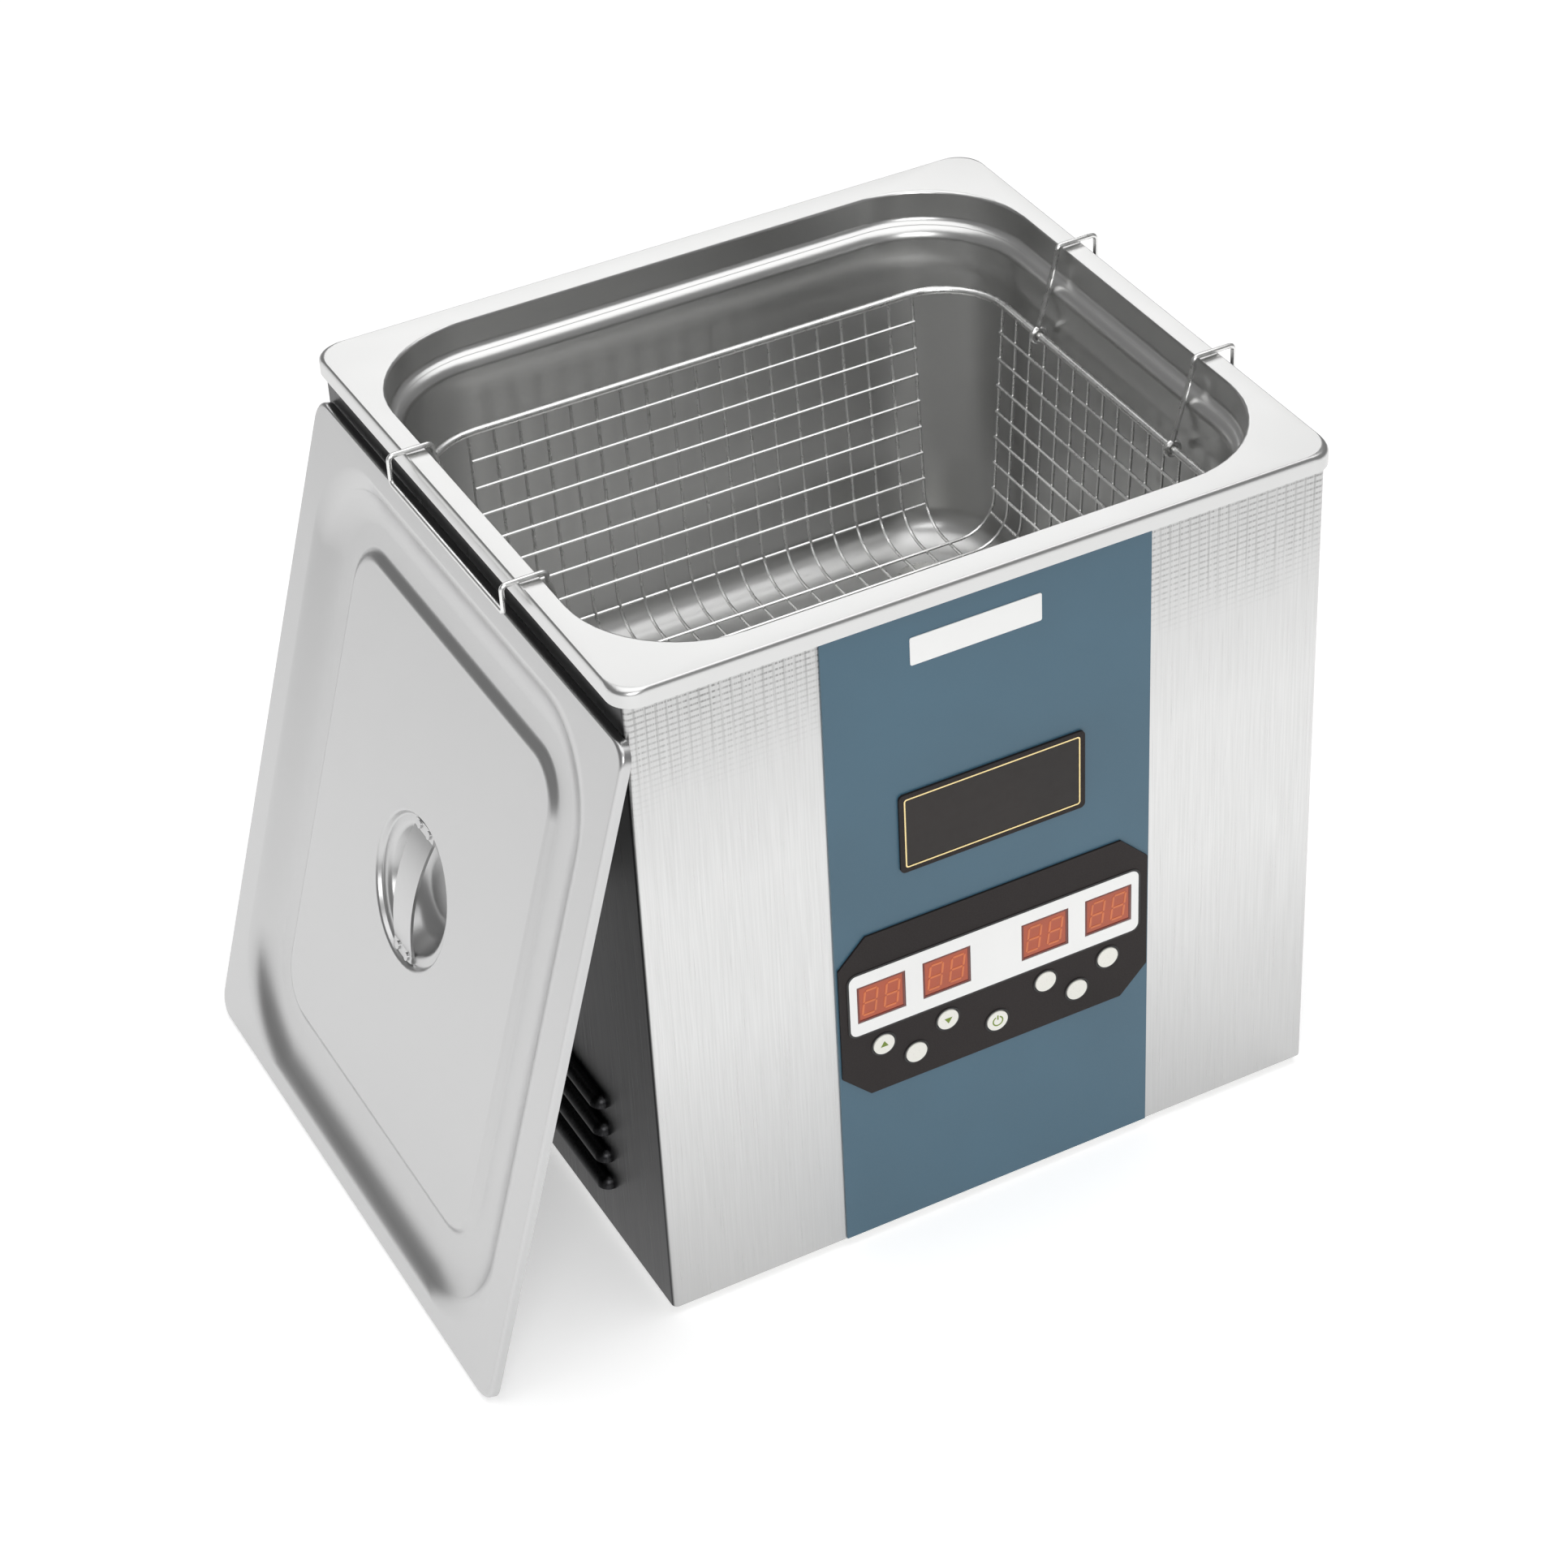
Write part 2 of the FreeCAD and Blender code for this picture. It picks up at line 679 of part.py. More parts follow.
def basket_floor():
    length = basket_w - rim_wire - 2 * wall_taper
    width = basket_d - rim_wire - 2 * wall_taper
    r = basket_r - wall_taper
    floor = grille(length, width, column_pitch, column_pitch, False)
    floor.translate(vec(-length / 2, -width / 2 + basket_shift_y, z_mesh - mesh_wire))
    edge = prism(length, width, r, z_mesh - mesh_wire, z_mesh, 0, basket_shift_y)
    inner = prism(length - 2 * mesh_wire, width - 2 * mesh_wire, r - mesh_wire, z_mesh - mesh_wire, z_mesh, 0,
                  basket_shift_y)
    return floor.common(edge).fuse(edge.cut(inner)).removeSplitter()


def bail_half():
    """Ring to the basket's middle, halfway between two bars of the side wall."""
    step = grille_step(short_wall, column_pitch)
    bars = round((short_wall - mesh_wire) / step)
    gaps = [(i + 0.5 - bars / 2) * step for i in range(bars)]
    return min(gaps, key=lambda gap: abs(gap - bail_reach))


def bail(side):
    """One wire: ring, leg, hook over the rim, outer bar, hook, leg, ring. Rings turn on the rim wire."""
    x_ring = basket_w / 2 - rim_wire / 2
    x_leg = open_w / 2 - bail_wire / 2 - 2.0
    x_out = rim_w / 2 + bail_outside
    z_over = z_top + bail_wire / 2 + bail_clear
    z_bar = z_top - bail_drop
    ring_r = rim_wire / 2 + ring_gap + bail_wire / 2
    z_ring = z_basket + ring_r
    y0 = basket_shift_y - bail_half()
    y1 = basket_shift_y + bail_half()
    z_leg = z_top - 3
    points = [vec(side * x_ring, y0, z_ring), vec(side * x_leg, y0, z_leg), vec(side * x_leg, y0, z_over),
              vec(side * x_out, y0, z_over), vec(side * x_out, y0, z_bar), vec(side * x_out, y1, z_bar),
              vec(side * x_out, y1, z_over), vec(side * x_leg, y1, z_over), vec(side * x_leg, y1, z_leg),
              vec(side * x_ring, y1, z_ring)]
    wire = swept(points, bail_wire / 2, bail_bend)
    rings = []
    for y in (y0, y1):
        ring = Part.makeTorus(ring_r, bail_wire / 2, vec(side * x_ring, y, z_basket), Y_AXIS)
        rings.append(ring)
    return wire.fuse(rings).removeSplitter()


# ---- lid ----
lid_len = rim_w - 2 * lid_margin_x
lid_wid = rim_d - 2 * lid_margin_y
lid_z_limit = z_lip - lid_below_rim
lid_angle = lid_lean
if lid_len * math.cos(math.radians(lid_lean)) > lid_z_limit:
    lid_angle = math.degrees(math.acos(lid_z_limit / lid_len))
lean_s = math.sin(math.radians(lid_angle))
lean_c = math.cos(math.radians(lid_angle))
lid_foot_x = -x_side - lid_touch_gap - lid_len * lean_s - lid_lip_h * lean_c
lid_foot_z = lid_lip_h * lean_s + lid_touch_gap
recess_len = open_w - 2 * lid_recess_gap
recess_wid = open_d - 2 * lid_recess_gap
recess_r = opening_r - lid_recess_gap
z_panel = lid_panel_up - lid_recess_depth
z_ring_flat = z_panel - dish_step
z_bowl = z_ring_flat - bowl_depth


def place_lid(shape):
    """From the lid's own frame (x across, y up its length, z out of its face) to where it leans."""
    turn = FreeCAD.Rotation(vec(0, -1, 0), vec(lean_s, 0, lean_c), vec(-lean_c, 0, lean_s), "ZXY")
    shape.Placement = FreeCAD.Placement(vec(lid_foot_x, lid_shift_y, lid_foot_z), turn)
    return shape


def lid_hollow(t):
    """Everything pressed below the lid's flat edge: the space above the skin (t = 0) or down to its back."""
    mid = lid_len / 2
    foot_w = recess_wid - 2 * lid_slope_w
    foot_l = recess_len - 2 * lid_slope_w
    z_foot = -lid_recess_depth - t
    hollow = frustum(recess_wid + 2 * t, recess_len + 2 * t, recess_r + t, -t,
                     foot_w + 2 * t, foot_l + 2 * t, recess_r - lid_slope_w + t, z_foot, 0, mid)
    if t == 0:
        top = prism(recess_wid, recess_len, recess_r, 0, 1, 0, mid)
        hollow = hollow.fuse(top)
    pw = foot_w - 2 * lid_panel_inset
    pl = foot_l - 2 * lid_panel_inset
    step = lid_panel_step
    bump = frustum(pw - 2 * t, pl - 2 * t, lid_panel_r - t, z_foot,
                   pw - 2 * step - 2 * t, pl - 2 * step - 2 * t, lid_panel_r - step - t, z_panel - t, 0, mid)
    hollow = hollow.cut(bump)
    centre = vec(0, mid, 0)
    ring = Part.makeCone(dish_r - 1.5 + t, dish_r + t, dish_step, centre + vec(0, 0, z_ring_flat - t), Z_AXIS)
    bowl = Part.makeCone(bowl_floor_r + t, bowl_r + t, bowl_depth, centre + vec(0, 0, z_bowl - t), Z_AXIS)
    return hollow.fuse([ring, bowl])


def lid_shell():
    mid = lid_len / 2
    edge = prism(lid_wid, lid_len, lid_corner_r, -lid_lip_h, 0, 0, mid)
    edge = fillet_at(edge, 1.8, 0)
    under = prism(lid_wid - 2 * lid_t, lid_len - 2 * lid_t, lid_corner_r - lid_t, -lid_lip_h, -lid_t, 0, mid)
    shell = edge.cut(under).fuse(lid_hollow(lid_t)).cut(lid_hollow(0))
    holes = [rod(rivet_r, 20, p + vec(0, 0, -10), Z_AXIS) for p in rivet_places()]
    return place_lid(shell.cut(holes).removeSplitter())


def rivet_places():
    mid = lid_len / 2
    reach = bowl_r + strap_tab / 2
    return [vec(sx * 5, mid + sy * reach, z_ring_flat) for sx in (-1, 1) for sy in (-1, 1)]


def lid_handle():
    """Strap arched over the bowl, its two flat tabs riveted to the ring around it."""
    mid = lid_len / 2
    arc_r = (bowl_r ** 2 + strap_rise ** 2) / (2 * strap_rise)
    axis = vec(-strap_w / 2, mid, z_ring_flat + strap_rise - arc_r)
    arch = tube(arc_r + strap_t, arc_r, strap_w, axis, X_AXIS)
    keep = block(-strap_w / 2, strap_w / 2, mid - bowl_r, mid + bowl_r, z_ring_flat, z_ring_flat + 20)
    strap = arch.common(keep)
    for sy in (-1, 1):
        y0 = mid + sy * bowl_r
        y1 = y0 + sy * (strap_tab + 0.4)
        tab = block(-strap_w / 2, strap_w / 2, min(y0, y1), max(y0, y1), z_ring_flat, z_ring_flat + strap_t)
        strap = strap.fuse(tab)
    strap = strap.common(rod(dish_r - 1.9, 60, vec(0, mid, z_ring_flat - 30), Z_AXIS))
    holes = [rod(rivet_r, 4, p, Z_AXIS) for p in rivet_places()]
    return place_lid(strap.cut(holes).removeSplitter())


def lid_rivets():
    made = []
    for p in rivet_places():
        shank = rod(rivet_r, strap_t + lid_t, p - Z_AXIS * lid_t, Z_AXIS)
        head = rod(2.0, 0.8, p + Z_AXIS * strap_t, Z_AXIS)
        tail = rod(1.9, 0.8, p - Z_AXIS * (lid_t + 0.8), Z_AXIS)
        made.append(shank.fuse([head, tail]))
    return place_lid(group(made))


# ---- under the tank ----
def horn_places():
    xs = (-horn_pitch_x, 0, horn_pitch_x)
    ys = (horn_rows_y - horn_pitch_y / 2, horn_rows_y + horn_pitch_y / 2)
    return [(x, y) for x in xs for y in ys]


z_skin = z_floor - tank_t
z_ceramic = z_skin - horn_h
z_mass = z_ceramic - 2 * ceramic_t
z_bolt = z_mass - mass_h
bolt_r = 5.0


def transducer_horns():
    made = []
    for x, y in horn_places():
        horn = Part.makeCone(horn_neck_r, horn_r, horn_h, vec(x, y, z_ceramic), Z_AXIS)
        made.append(horn.cut(rod(bolt_r + 0.2, horn_h * 0.6, vec(x, y, z_ceramic), Z_AXIS)))
    return group(made)


def transducer_ceramics():
    made = []
    for x, y in horn_places():
        for k in range(2):
            base = vec(x, y, z_mass + k * ceramic_t + 0.2)
            made.append(tube(ceramic_r, ceramic_bore, ceramic_t - 0.2, base, Z_AXIS))
    return group(made)


def transducer_masses():
    return group([tube(ceramic_r, bolt_r + 0.2, mass_h, vec(x, y, z_bolt), Z_AXIS) for x, y in horn_places()])


def transducer_bolts():
    made = []
    for x, y in horn_places():
        head = rod(8, 6, vec(x, y, z_bolt - 6), Z_AXIS)
        shank = rod(bolt_r, z_ceramic + horn_h * 0.5 - z_bolt, vec(x, y, z_bolt), Z_AXIS)
        made.append(head.fuse(shank))
    return group(made)


def heater_pads():
    depth = bowl_d - 2 * bowl_corner_r - 10
    x = bowl_w / 2 + tank_t
    z0 = z_floor + tank_floor_r + 4
    made = []
    for side in (-1, 1):
        x0 = side * x
        x1 = side * (x + 2)
        made.append(block(min(x0, x1), max(x0, x1), -depth / 2, depth / 2, z0, z0 + 70))
    return group(made)


def temperature_sensor():
    y = bowl_d / 2 + tank_t
    z = z_floor + tank_floor_r + 10
    body = rod(3, 30, vec(40, y + 3, z), Z_AXIS)
    clip = block(34, 46, y, y + 1, z + 8, z + 20)
    return body.fuse([clip, block(38, 42, y, y + 3, z + 8, z + 20)])


def generator_corners():
    return [(x, y) for x in (-62, 62) for y in (-128, -52)]


def generator_heatsink():
    z = z_base + sheet_t + 8 + board_t
    parts = [block(-50, -10, -120, -60, z, z + 5)]
    for i in range(7):
        x = -50 + i * 6.33
        parts.append(block(x, x + 2, -120, -60, z + 4, z + 22))
    return parts[0].fuse(parts[1:]).removeSplitter()


def output_transformer():
    z = z_base + sheet_t + 8 + board_t
    core = tube(22, 9, 20, vec(32, -90, z), Z_AXIS)
    return core.makeFillet(3, [e for e in core.Edges if abs(e.BoundBox.ZMax - e.BoundBox.ZMin) < 0.01])


# ---- drain ----
def drain_strainer():
    """Perforated disc that drops into the drain from inside the tank."""
    disc = rod(15, 1, vec(drain_x, drain_y, z_floor), Z_AXIS)
    collar = tube(drain_bore, drain_bore - 1, 4, vec(drain_x, drain_y, z_floor - 4), Z_AXIS)
    holes = []
    for ring, count in ((2.6, 5), (5.2, 10)):
        for i in range(count):
            a = 2 * math.pi * i / count
            place = vec(drain_x + ring * math.cos(a), drain_y + ring * math.sin(a), z_floor - 5)
            holes.append(rod(1.0, 10, place, Z_AXIS))
    return disc.fuse(collar).cut(holes)


def drain_fitting():
    """Flanged bush welded under the tank's floor; the pipe is pushed into it."""
    r = drain_bore + drain_wall
    bush = rod(r, 24, vec(drain_x, drain_y, z_floor - 24), Z_AXIS)
    flange = rod(17, 2, vec(drain_x, drain_y, z_skin - 2), Z_AXIS)
    bore = rod(drain_bore, 24, vec(drain_x, drain_y, z_floor - 24), Z_AXIS)
    return bush.fuse(flange).cut(bore)


def drain_pipe():
    x_end = x_side + 4
    top = z_floor - 24
    points = [vec(drain_x, drain_y, top), vec(drain_x, drain_y, z_drain), vec(x_end, drain_y, z_drain)]
    outer = swept(points, drain_bore + drain_wall, drain_bend)
    return outer.cut(swept(points, drain_bore, drain_bend))


def hexagon(flats, length, base):
    """Hexagonal bar along +X from base."""
    r = flats / math.sqrt(3)
    corners = []
    for i in range(7):
        a = math.radians(60 * i)
        corners.append(vec(base.x, base.y + r * math.cos(a), base.z + r * math.sin(a)))
    return Part.Face(Part.makePolygon(corners)).extrude(vec(length, 0, 0))


def pipe_nut():
    base = vec(x_side - sheet_t - 5, drain_y, z_drain)
    nut = hexagon(30, 5, base)
    return nut.cut(rod(drain_bore + drain_wall, 5, base, X_AXIS))


valve_x0 = x_side + 4
valve_cx = valve_x0 + valve_len / 2
valve_end = valve_x0 + valve_len
z_valve_top = z_drain + valve_r + 3


def valve_body():
    start = vec(valve_x0, drain_y, z_drain)
    body = rod(valve_r, valve_len, start, X_AXIS)
    collar = hexagon(27, 8, start)
    neck = rod(6, valve_r + 3, vec(valve_cx, drain_y, z_drain), Z_AXIS)
    barb = rod(barb_r - 0.8, barb_len, vec(valve_end, drain_y, z_drain), X_AXIS)
    ridges = []
    for i in range(3):
        base = vec(valve_end + 6 + 5 * i, drain_y, z_drain)
        ridges.append(Part.makeCone(barb_r, barb_r - 0.8, 4, base, X_AXIS))
    solid = body.fuse([collar, neck, barb] + ridges)
    bores = [rod(drain_bore, valve_cx - valve_x0, start, X_AXIS)]
    bores.append(rod(barb_bore, valve_end + barb_len - valve_cx, vec(valve_cx, drain_y, z_drain), X_AXIS))
    bores.append(Part.makeSphere(ball_r + ball_gap, vec(valve_cx, drain_y, z_drain)))
    bores.append(rod(stem_r + stem_gap, valve_r + 5, vec(valve_cx, drain_y, z_drain), Z_AXIS))
    return solid.cut(bores)


def valve_ball():
    """Closed at rest: the ball's bore lies across the pipe."""
    ball = Part.makeSphere(ball_r, vec(valve_cx, drain_y, z_drain))
    bore = rod(ball_bore, 3 * ball_r, vec(valve_cx, drain_y - 1.5 * ball_r, z_drain), Y_AXIS)
    slot = block(valve_cx - 1, valve_cx + 1, drain_y - 4, drain_y + 4, z_drain + ball_r - 2, z_drain + ball_r + 1)
    return ball.cut([bore, slot])


def valve_stem():
    z0 = z_drain + ball_r
    stem = rod(stem_r, z_valve_top + lever_t + 5 - z0, vec(valve_cx, drain_y, z0), Z_AXIS)
    key = block(valve_cx - 1, valve_cx + 1, drain_y - 2.5, drain_y + 2.5, z0 - 2, z0 + 1)
    return stem.fuse(key)


def valve_lever():
    """Flat steel lever with a moulded sleeve; it points to the front when the valve is shut."""
    z0 = z_valve_top + 0.6
    plate = block(valve_cx - lever_w / 2, valve_cx + lever_w / 2, drain_y - lever_len, drain_y + 8, z0, z0 + lever_t)
    sleeve = block(valve_cx - lever_w / 2 - 1.5, valve_cx + lever_w / 2 + 1.5, drain_y - lever_len - 1.5,
                   drain_y - 18, z0 - 1.5, z0 + lever_t + 1.5)
    sleeve = sleeve.makeFillet(1.4, sleeve.Edges)
    return plate.fuse(sleeve).cut(rod(stem_r, 10, vec(valve_cx, drain_y, z0 - 2), Z_AXIS))


def lever_nut():
    z0 = z_valve_top + 0.6 + lever_t
    nut = rod(5, 3.5, vec(valve_cx, drain_y, z0), Z_AXIS)
    return nut.cut(rod(stem_r, 3.5, vec(valve_cx, drain_y, z0), Z_AXIS))


# ---- rear ----
def fan_corners():
    c = fan_size / 2 - 4.5
    return [(sx * c, sz * c) for sx in (-1, 1) for sz in (-1, 1)]


y_fan = y_rear - fan_depth
z_fan = z_base + fan_up


def fan_frame():
    frame = slab(fan_x, z_fan, fan_size, fan_size, y_fan, y_rear)
    frame = frame.makeFillet(4, [e for e in frame.Edges if e.BoundBox.YLength > fan_depth - 1])
    bore = rod(fan_bore, fan_depth, vec(fan_x, y_fan, z_fan), Y_AXIS)
    holes = [rod(2.2, fan_depth, vec(fan_x + dx, y_fan, z_fan + dz), Y_AXIS) for dx, dz in fan_corners()]
    frame = frame.cut([bore] + holes)
    motor = rod(hub_r, 4, vec(fan_x, y_fan, z_fan), Y_AXIS)
    arms = []
    for i in range(4):
        arm = block(fan_x, fan_x + fan_bore + 1, y_fan, y_fan + 4, z_fan - 2, z_fan + 2)
        arm.rotate(vec(fan_x, 0, z_fan), Y_AXIS, 45 + 90 * i)
        arms.append(arm)
    frame = frame.fuse([motor] + arms)
    return frame.cut(rod(2.0, 4, vec(fan_x, y_fan, z_fan), Y_AXIS)).removeSplitter()


def fan_rotor():
    y0 = y_fan + 4.5
    length = fan_depth - 6.5
    hub = rod(hub_r, length, vec(fan_x, y0, z_fan), Y_AXIS)
    shaft = rod(1.9, 4, vec(fan_x, y_fan + 0.5, z_fan), Y_AXIS)
    blades = []
    for i in range(blade_count):
        blade = block(hub_r - 2, fan_bore + 5, -14, 14, -0.8, 0.8)
        blade.rotate(vec(0, 0, 0), X_AXIS, 48)
        blade.translate(vec(fan_x, y0 + length / 2, z_fan))
        blade.rotate(vec(fan_x, 0, z_fan), Y_AXIS, 360.0 / blade_count * i)
        blades.append(blade)
    sweep = rod(fan_bore - blade_tip_gap, length, vec(fan_x, y0, z_fan), Y_AXIS)
    vanes = blades[0].fuse(blades[1:]).common(sweep)
    return hub.fuse([shaft, vanes]).removeSplitter()


def fan_guard():
    """Concentric rings welded on four crossing bars, with a washer at each corner."""
    y = y_rear + sheet_t
    t = guard_wire
    rings = [tube(ring + t / 2, ring - t / 2, 0.6 * t, vec(fan_x, y + 0.4 * t, z_fan), Y_AXIS)
             for ring in (10, 19, 28, 37)]
    bars = []
    ears = []
    reach = math.hypot(*fan_corners()[0])
    for i in range(4):
        bar = block(fan_x + 10, fan_x + reach - 3, y, y + 0.6 * t, z_fan - t / 2, z_fan + t / 2)
        bar.rotate(vec(fan_x, 0, z_fan), Y_AXIS, 45 + 90 * i)
        bars.append(bar)
    for dx, dz in fan_corners():
        ears.append(tube(4.4, 2.1, t, vec(fan_x + dx, y, z_fan + dz), Y_AXIS))
    return bars[0].fuse(bars[1:] + rings + ears)


def rear_screws():
    """Screws of the rear panel and the longer ones that hold the fan and its guard."""
    seats = [vec(fan_x + dx, y_rear + sheet_t + guard_wire, z_fan + dz) for dx, dz in fan_corners()]
    fan = screws(seats, Y_AXIS, 4.2, 2.2, 2.0, fan_depth + sheet_t + guard_wire)
    panel = screws(rear_screw_places(), Y_AXIS, 3.2, 1.8, 1.7, 8)
    return group(fan.Solids + panel.Solids)


def mains_inlet():
    z = z_base + service_up
    y1 = y_rear + sheet_t
    body = slab(inlet_x, z, 28, 20, y1 - 24, y1)
    flange = slab(inlet_x, z, 34, 26, y1, y1 + 3)
    flange = flange.makeFillet(2, [e for e in flange.Edges if e.BoundBox.YLength > 2.9])
    socket = slab(inlet_x, z, 24.4, 16.4, y1 - 17, y1 + 4)
    return body.fuse(flange).cut(socket).removeSplitter()


def inlet_pins():
    z = z_base + service_up
    y1 = y_rear + sheet_t
    made = []
    for dx, dz in ((-7, -2), (7, -2), (0, 2)):
        made.append(slab(inlet_x + dx, z + dz, 2, 4, y1 - 17, y1 - 5))
    return group(made)


def fuse_holder():
    z = z_base + service_up
    y1 = y_rear + sheet_t
    body = rod(6, 30, vec(fuse_x, y1 - 30, z), Y_AXIS)
    cap = rod(8, 7, vec(fuse_x, y1, z), Y_AXIS)
    slot = slab(fuse_x, z, 10, 1.6, y1 + 5.5, y1 + 8)
    return body.fuse(cap).cut(slot)


def rocker_housing():
    z = z_base + service_up
    y1 = y_rear + sheet_t
    body = slab(rocker_x, z, rocker_w + 3, rocker_h + 2, y1 - 18, y1)
    flange = slab(rocker_x, z, rocker_w + 7, rocker_h + 6, y1, y1 + 2)
    cavity = slab(rocker_x, z, rocker_w, rocker_h, y1 - 13, y1 + 3)
    return body.fuse(flange).cut(cavity).removeSplitter()


def rocker_pivot():
    return vec(rocker_x, y_rear + sheet_t - 3.5, z_base + service_up)


def power_rocker():
    """Two-faced cap on a round barrel, tipped to its off position."""
    pivot = rocker_pivot()
    half = rocker_h / 2 - 1.2
    w = rocker_w - 0.8
    outline = [vec(0, -2.5, -half), vec(0, 6.5, -half), vec(0, 4.6, 0), vec(0, 6.5, half), vec(0, -2.5, half),
               vec(0, -2.5, -half)]
    cap = Part.Face(Part.makePolygon(outline)).extrude(vec(w, 0, 0))
    cap.translate(vec(-w / 2, 0, 0))
    barrel = rod(4.4, w, vec(-w / 2, 0, 0), X_AXIS)
    shape = cap.fuse(barrel)
    shape.rotate(vec(0, 0, 0), X_AXIS, -rocker_tilt)
    shape.translate(pivot)
    return shape


parts = {
    "housing_wrap": housing_wrap(),
    "rear_panel": rear_panel(),
    "base_plate": base_plate(),
    "feet": feet(),
    "foot_screws": foot_screws(),
    "tank": tank(),
    "front_panel": front_panel(),
    "name_plate": name_plate(),
    "lcd_bezel": lcd_bezel(),
    "lcd_trim": lcd_trim(),
    "lcd_window": lcd_window(),
    "lcd_module": lcd_module(),
    "control_panel": control_panel(),
    "display_strip": display_strip(),
    "led_displays": led_displays(),
    "circuit_boards": circuit_boards(),
    "board_spacers": board_spacers(),
    "tact_switches": tact_switches(),
    "basket_rim": basket_rim(),
    "basket_long_walls": basket_long_walls(),
    "basket_short_walls": basket_short_walls(),
    "basket_floor": basket_floor(),
    "bail_left": bail(-1),
    "bail_right": bail(1),
    "lid_shell": lid_shell(),
    "lid_handle": lid_handle(),
    "lid_rivets": lid_rivets(),
    "transducer_horns": transducer_horns(),
    "transducer_ceramics": transducer_ceramics(),
    "transducer_masses": transducer_masses(),
    "transducer_bolts": transducer_bolts(),
    "heater_pads": heater_pads(),
    "temperature_sensor": temperature_sensor(),
    "generator_heatsink": generator_heatsink(),
    "output_transformer": output_transformer(),
    "drain_strainer": drain_strainer(),
    "drain_fitting": drain_fitting(),
    "drain_pipe": drain_pipe(),
    "pipe_nut": pipe_nut(),
    "valve_body": valve_body(),
    "valve_ball": valve_ball(),
    "valve_stem": valve_stem(),
    "valve_lever": valve_lever(),
    "lever_nut": lever_nut(),
    "fan_frame": fan_frame(),
    "fan_rotor": fan_rotor(),
    "fan_guard": fan_guard(),
    "rear_screws": rear_screws(),
    "mains_inlet": mains_inlet(),
    "inlet_pins": inlet_pins(),
    "fuse_holder": fuse_holder(),
    "rocker_housing": rocker_housing(),
    "power_rocker": power_rocker(),
}
for name, x, row in key_layout:
    parts[name] = button(x, row)

# The origin goes to the bottom centre of the whole set.
whole = Part.makeCompound(list(parts.values())).optimalBoundingBox()
shift = vec(-(whole.XMin + whole.XMax) / 2, -(whole.YMin + whole.YMax) / 2, 0)

os.makedirs("parts", exist_ok=True)
for name, shape in parts.items():
    shape.translate(shift)
    shape.exportStep("parts/%s.step" % name)
    print("%-22s solids %d valid %s volume %.0f" % (name, len(shape.Solids), shape.isValid(), shape.Volume))
print("nodes", len(parts), "shift", shift, "size", whole.XLength, whole.YLength, whole.ZLength)
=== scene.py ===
import math

import bmesh
import bpy
from mathutils import Matrix, Vector


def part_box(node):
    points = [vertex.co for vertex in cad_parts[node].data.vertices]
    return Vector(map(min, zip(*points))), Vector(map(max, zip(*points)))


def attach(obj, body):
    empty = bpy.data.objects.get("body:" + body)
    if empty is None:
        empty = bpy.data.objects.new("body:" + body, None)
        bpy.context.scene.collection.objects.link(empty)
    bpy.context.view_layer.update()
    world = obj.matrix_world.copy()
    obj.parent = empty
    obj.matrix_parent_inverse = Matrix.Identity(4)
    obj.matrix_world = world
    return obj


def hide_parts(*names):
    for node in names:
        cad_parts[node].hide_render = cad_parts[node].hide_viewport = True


# Heated ultrasonic bath on a pale floor. All lengths are metres in the row frame: +X right, +Y rear, +Z up.

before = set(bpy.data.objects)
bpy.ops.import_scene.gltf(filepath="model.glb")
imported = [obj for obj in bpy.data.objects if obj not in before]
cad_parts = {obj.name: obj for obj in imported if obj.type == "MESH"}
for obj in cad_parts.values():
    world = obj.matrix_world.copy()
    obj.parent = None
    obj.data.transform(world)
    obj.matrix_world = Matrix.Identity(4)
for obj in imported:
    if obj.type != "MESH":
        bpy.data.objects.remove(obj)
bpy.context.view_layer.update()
MM = 0.001
UPRIGHT = Matrix.Rotation(math.radians(90), 4, "X")


# ---------------------------------------------------------------- modelling helpers
def start(name):
    """Names the primitive that has just been added."""
    piece = bpy.context.object
    piece.name = name
    piece.data.name = name
    return piece


def deselect():
    if bpy.context.object and bpy.context.object.mode != "OBJECT":
        bpy.ops.object.mode_set(mode="OBJECT")
    bpy.ops.object.select_all(action="DESELECT")


def only(piece):
    deselect()
    piece.select_set(True)
    bpy.context.view_layer.objects.active = piece


def edit(piece=None):
    if piece is not None:
        only(piece)
    bpy.ops.object.mode_set(mode="EDIT")


def leave():
    bpy.ops.object.mode_set(mode="OBJECT")


def pick(kind, test):
    """Selects only the faces, edges or vertices of the piece in edit mode that pass the test."""
    bpy.ops.mesh.select_all(action="DESELECT")
    bpy.ops.mesh.select_mode(type={"faces": "FACE", "edges": "EDGE", "verts": "VERT"}[kind])
    mesh = bmesh.from_edit_mesh(bpy.context.object.data)
    for part in getattr(mesh, kind):
        if test(part):
            part.select_set(True)
    mesh.select_flush_mode()
    bmesh.update_edit_mesh(bpy.context.object.data)


def apply_modifier(piece, kind, **settings):
    only(piece)
    modifier = piece.modifiers.new(kind.title(), kind)
    for key, value in settings.items():
        setattr(modifier, key, value)
    bpy.ops.object.modifier_apply(modifier=modifier.name)


def join(name, pieces):
    """Joins pieces into one that has the name given."""
    deselect()
    for piece in pieces:
        piece.select_set(True)
    bpy.context.view_layer.objects.active = pieces[0]
    if len(pieces) > 1:
        bpy.ops.object.join()
    return start(name)


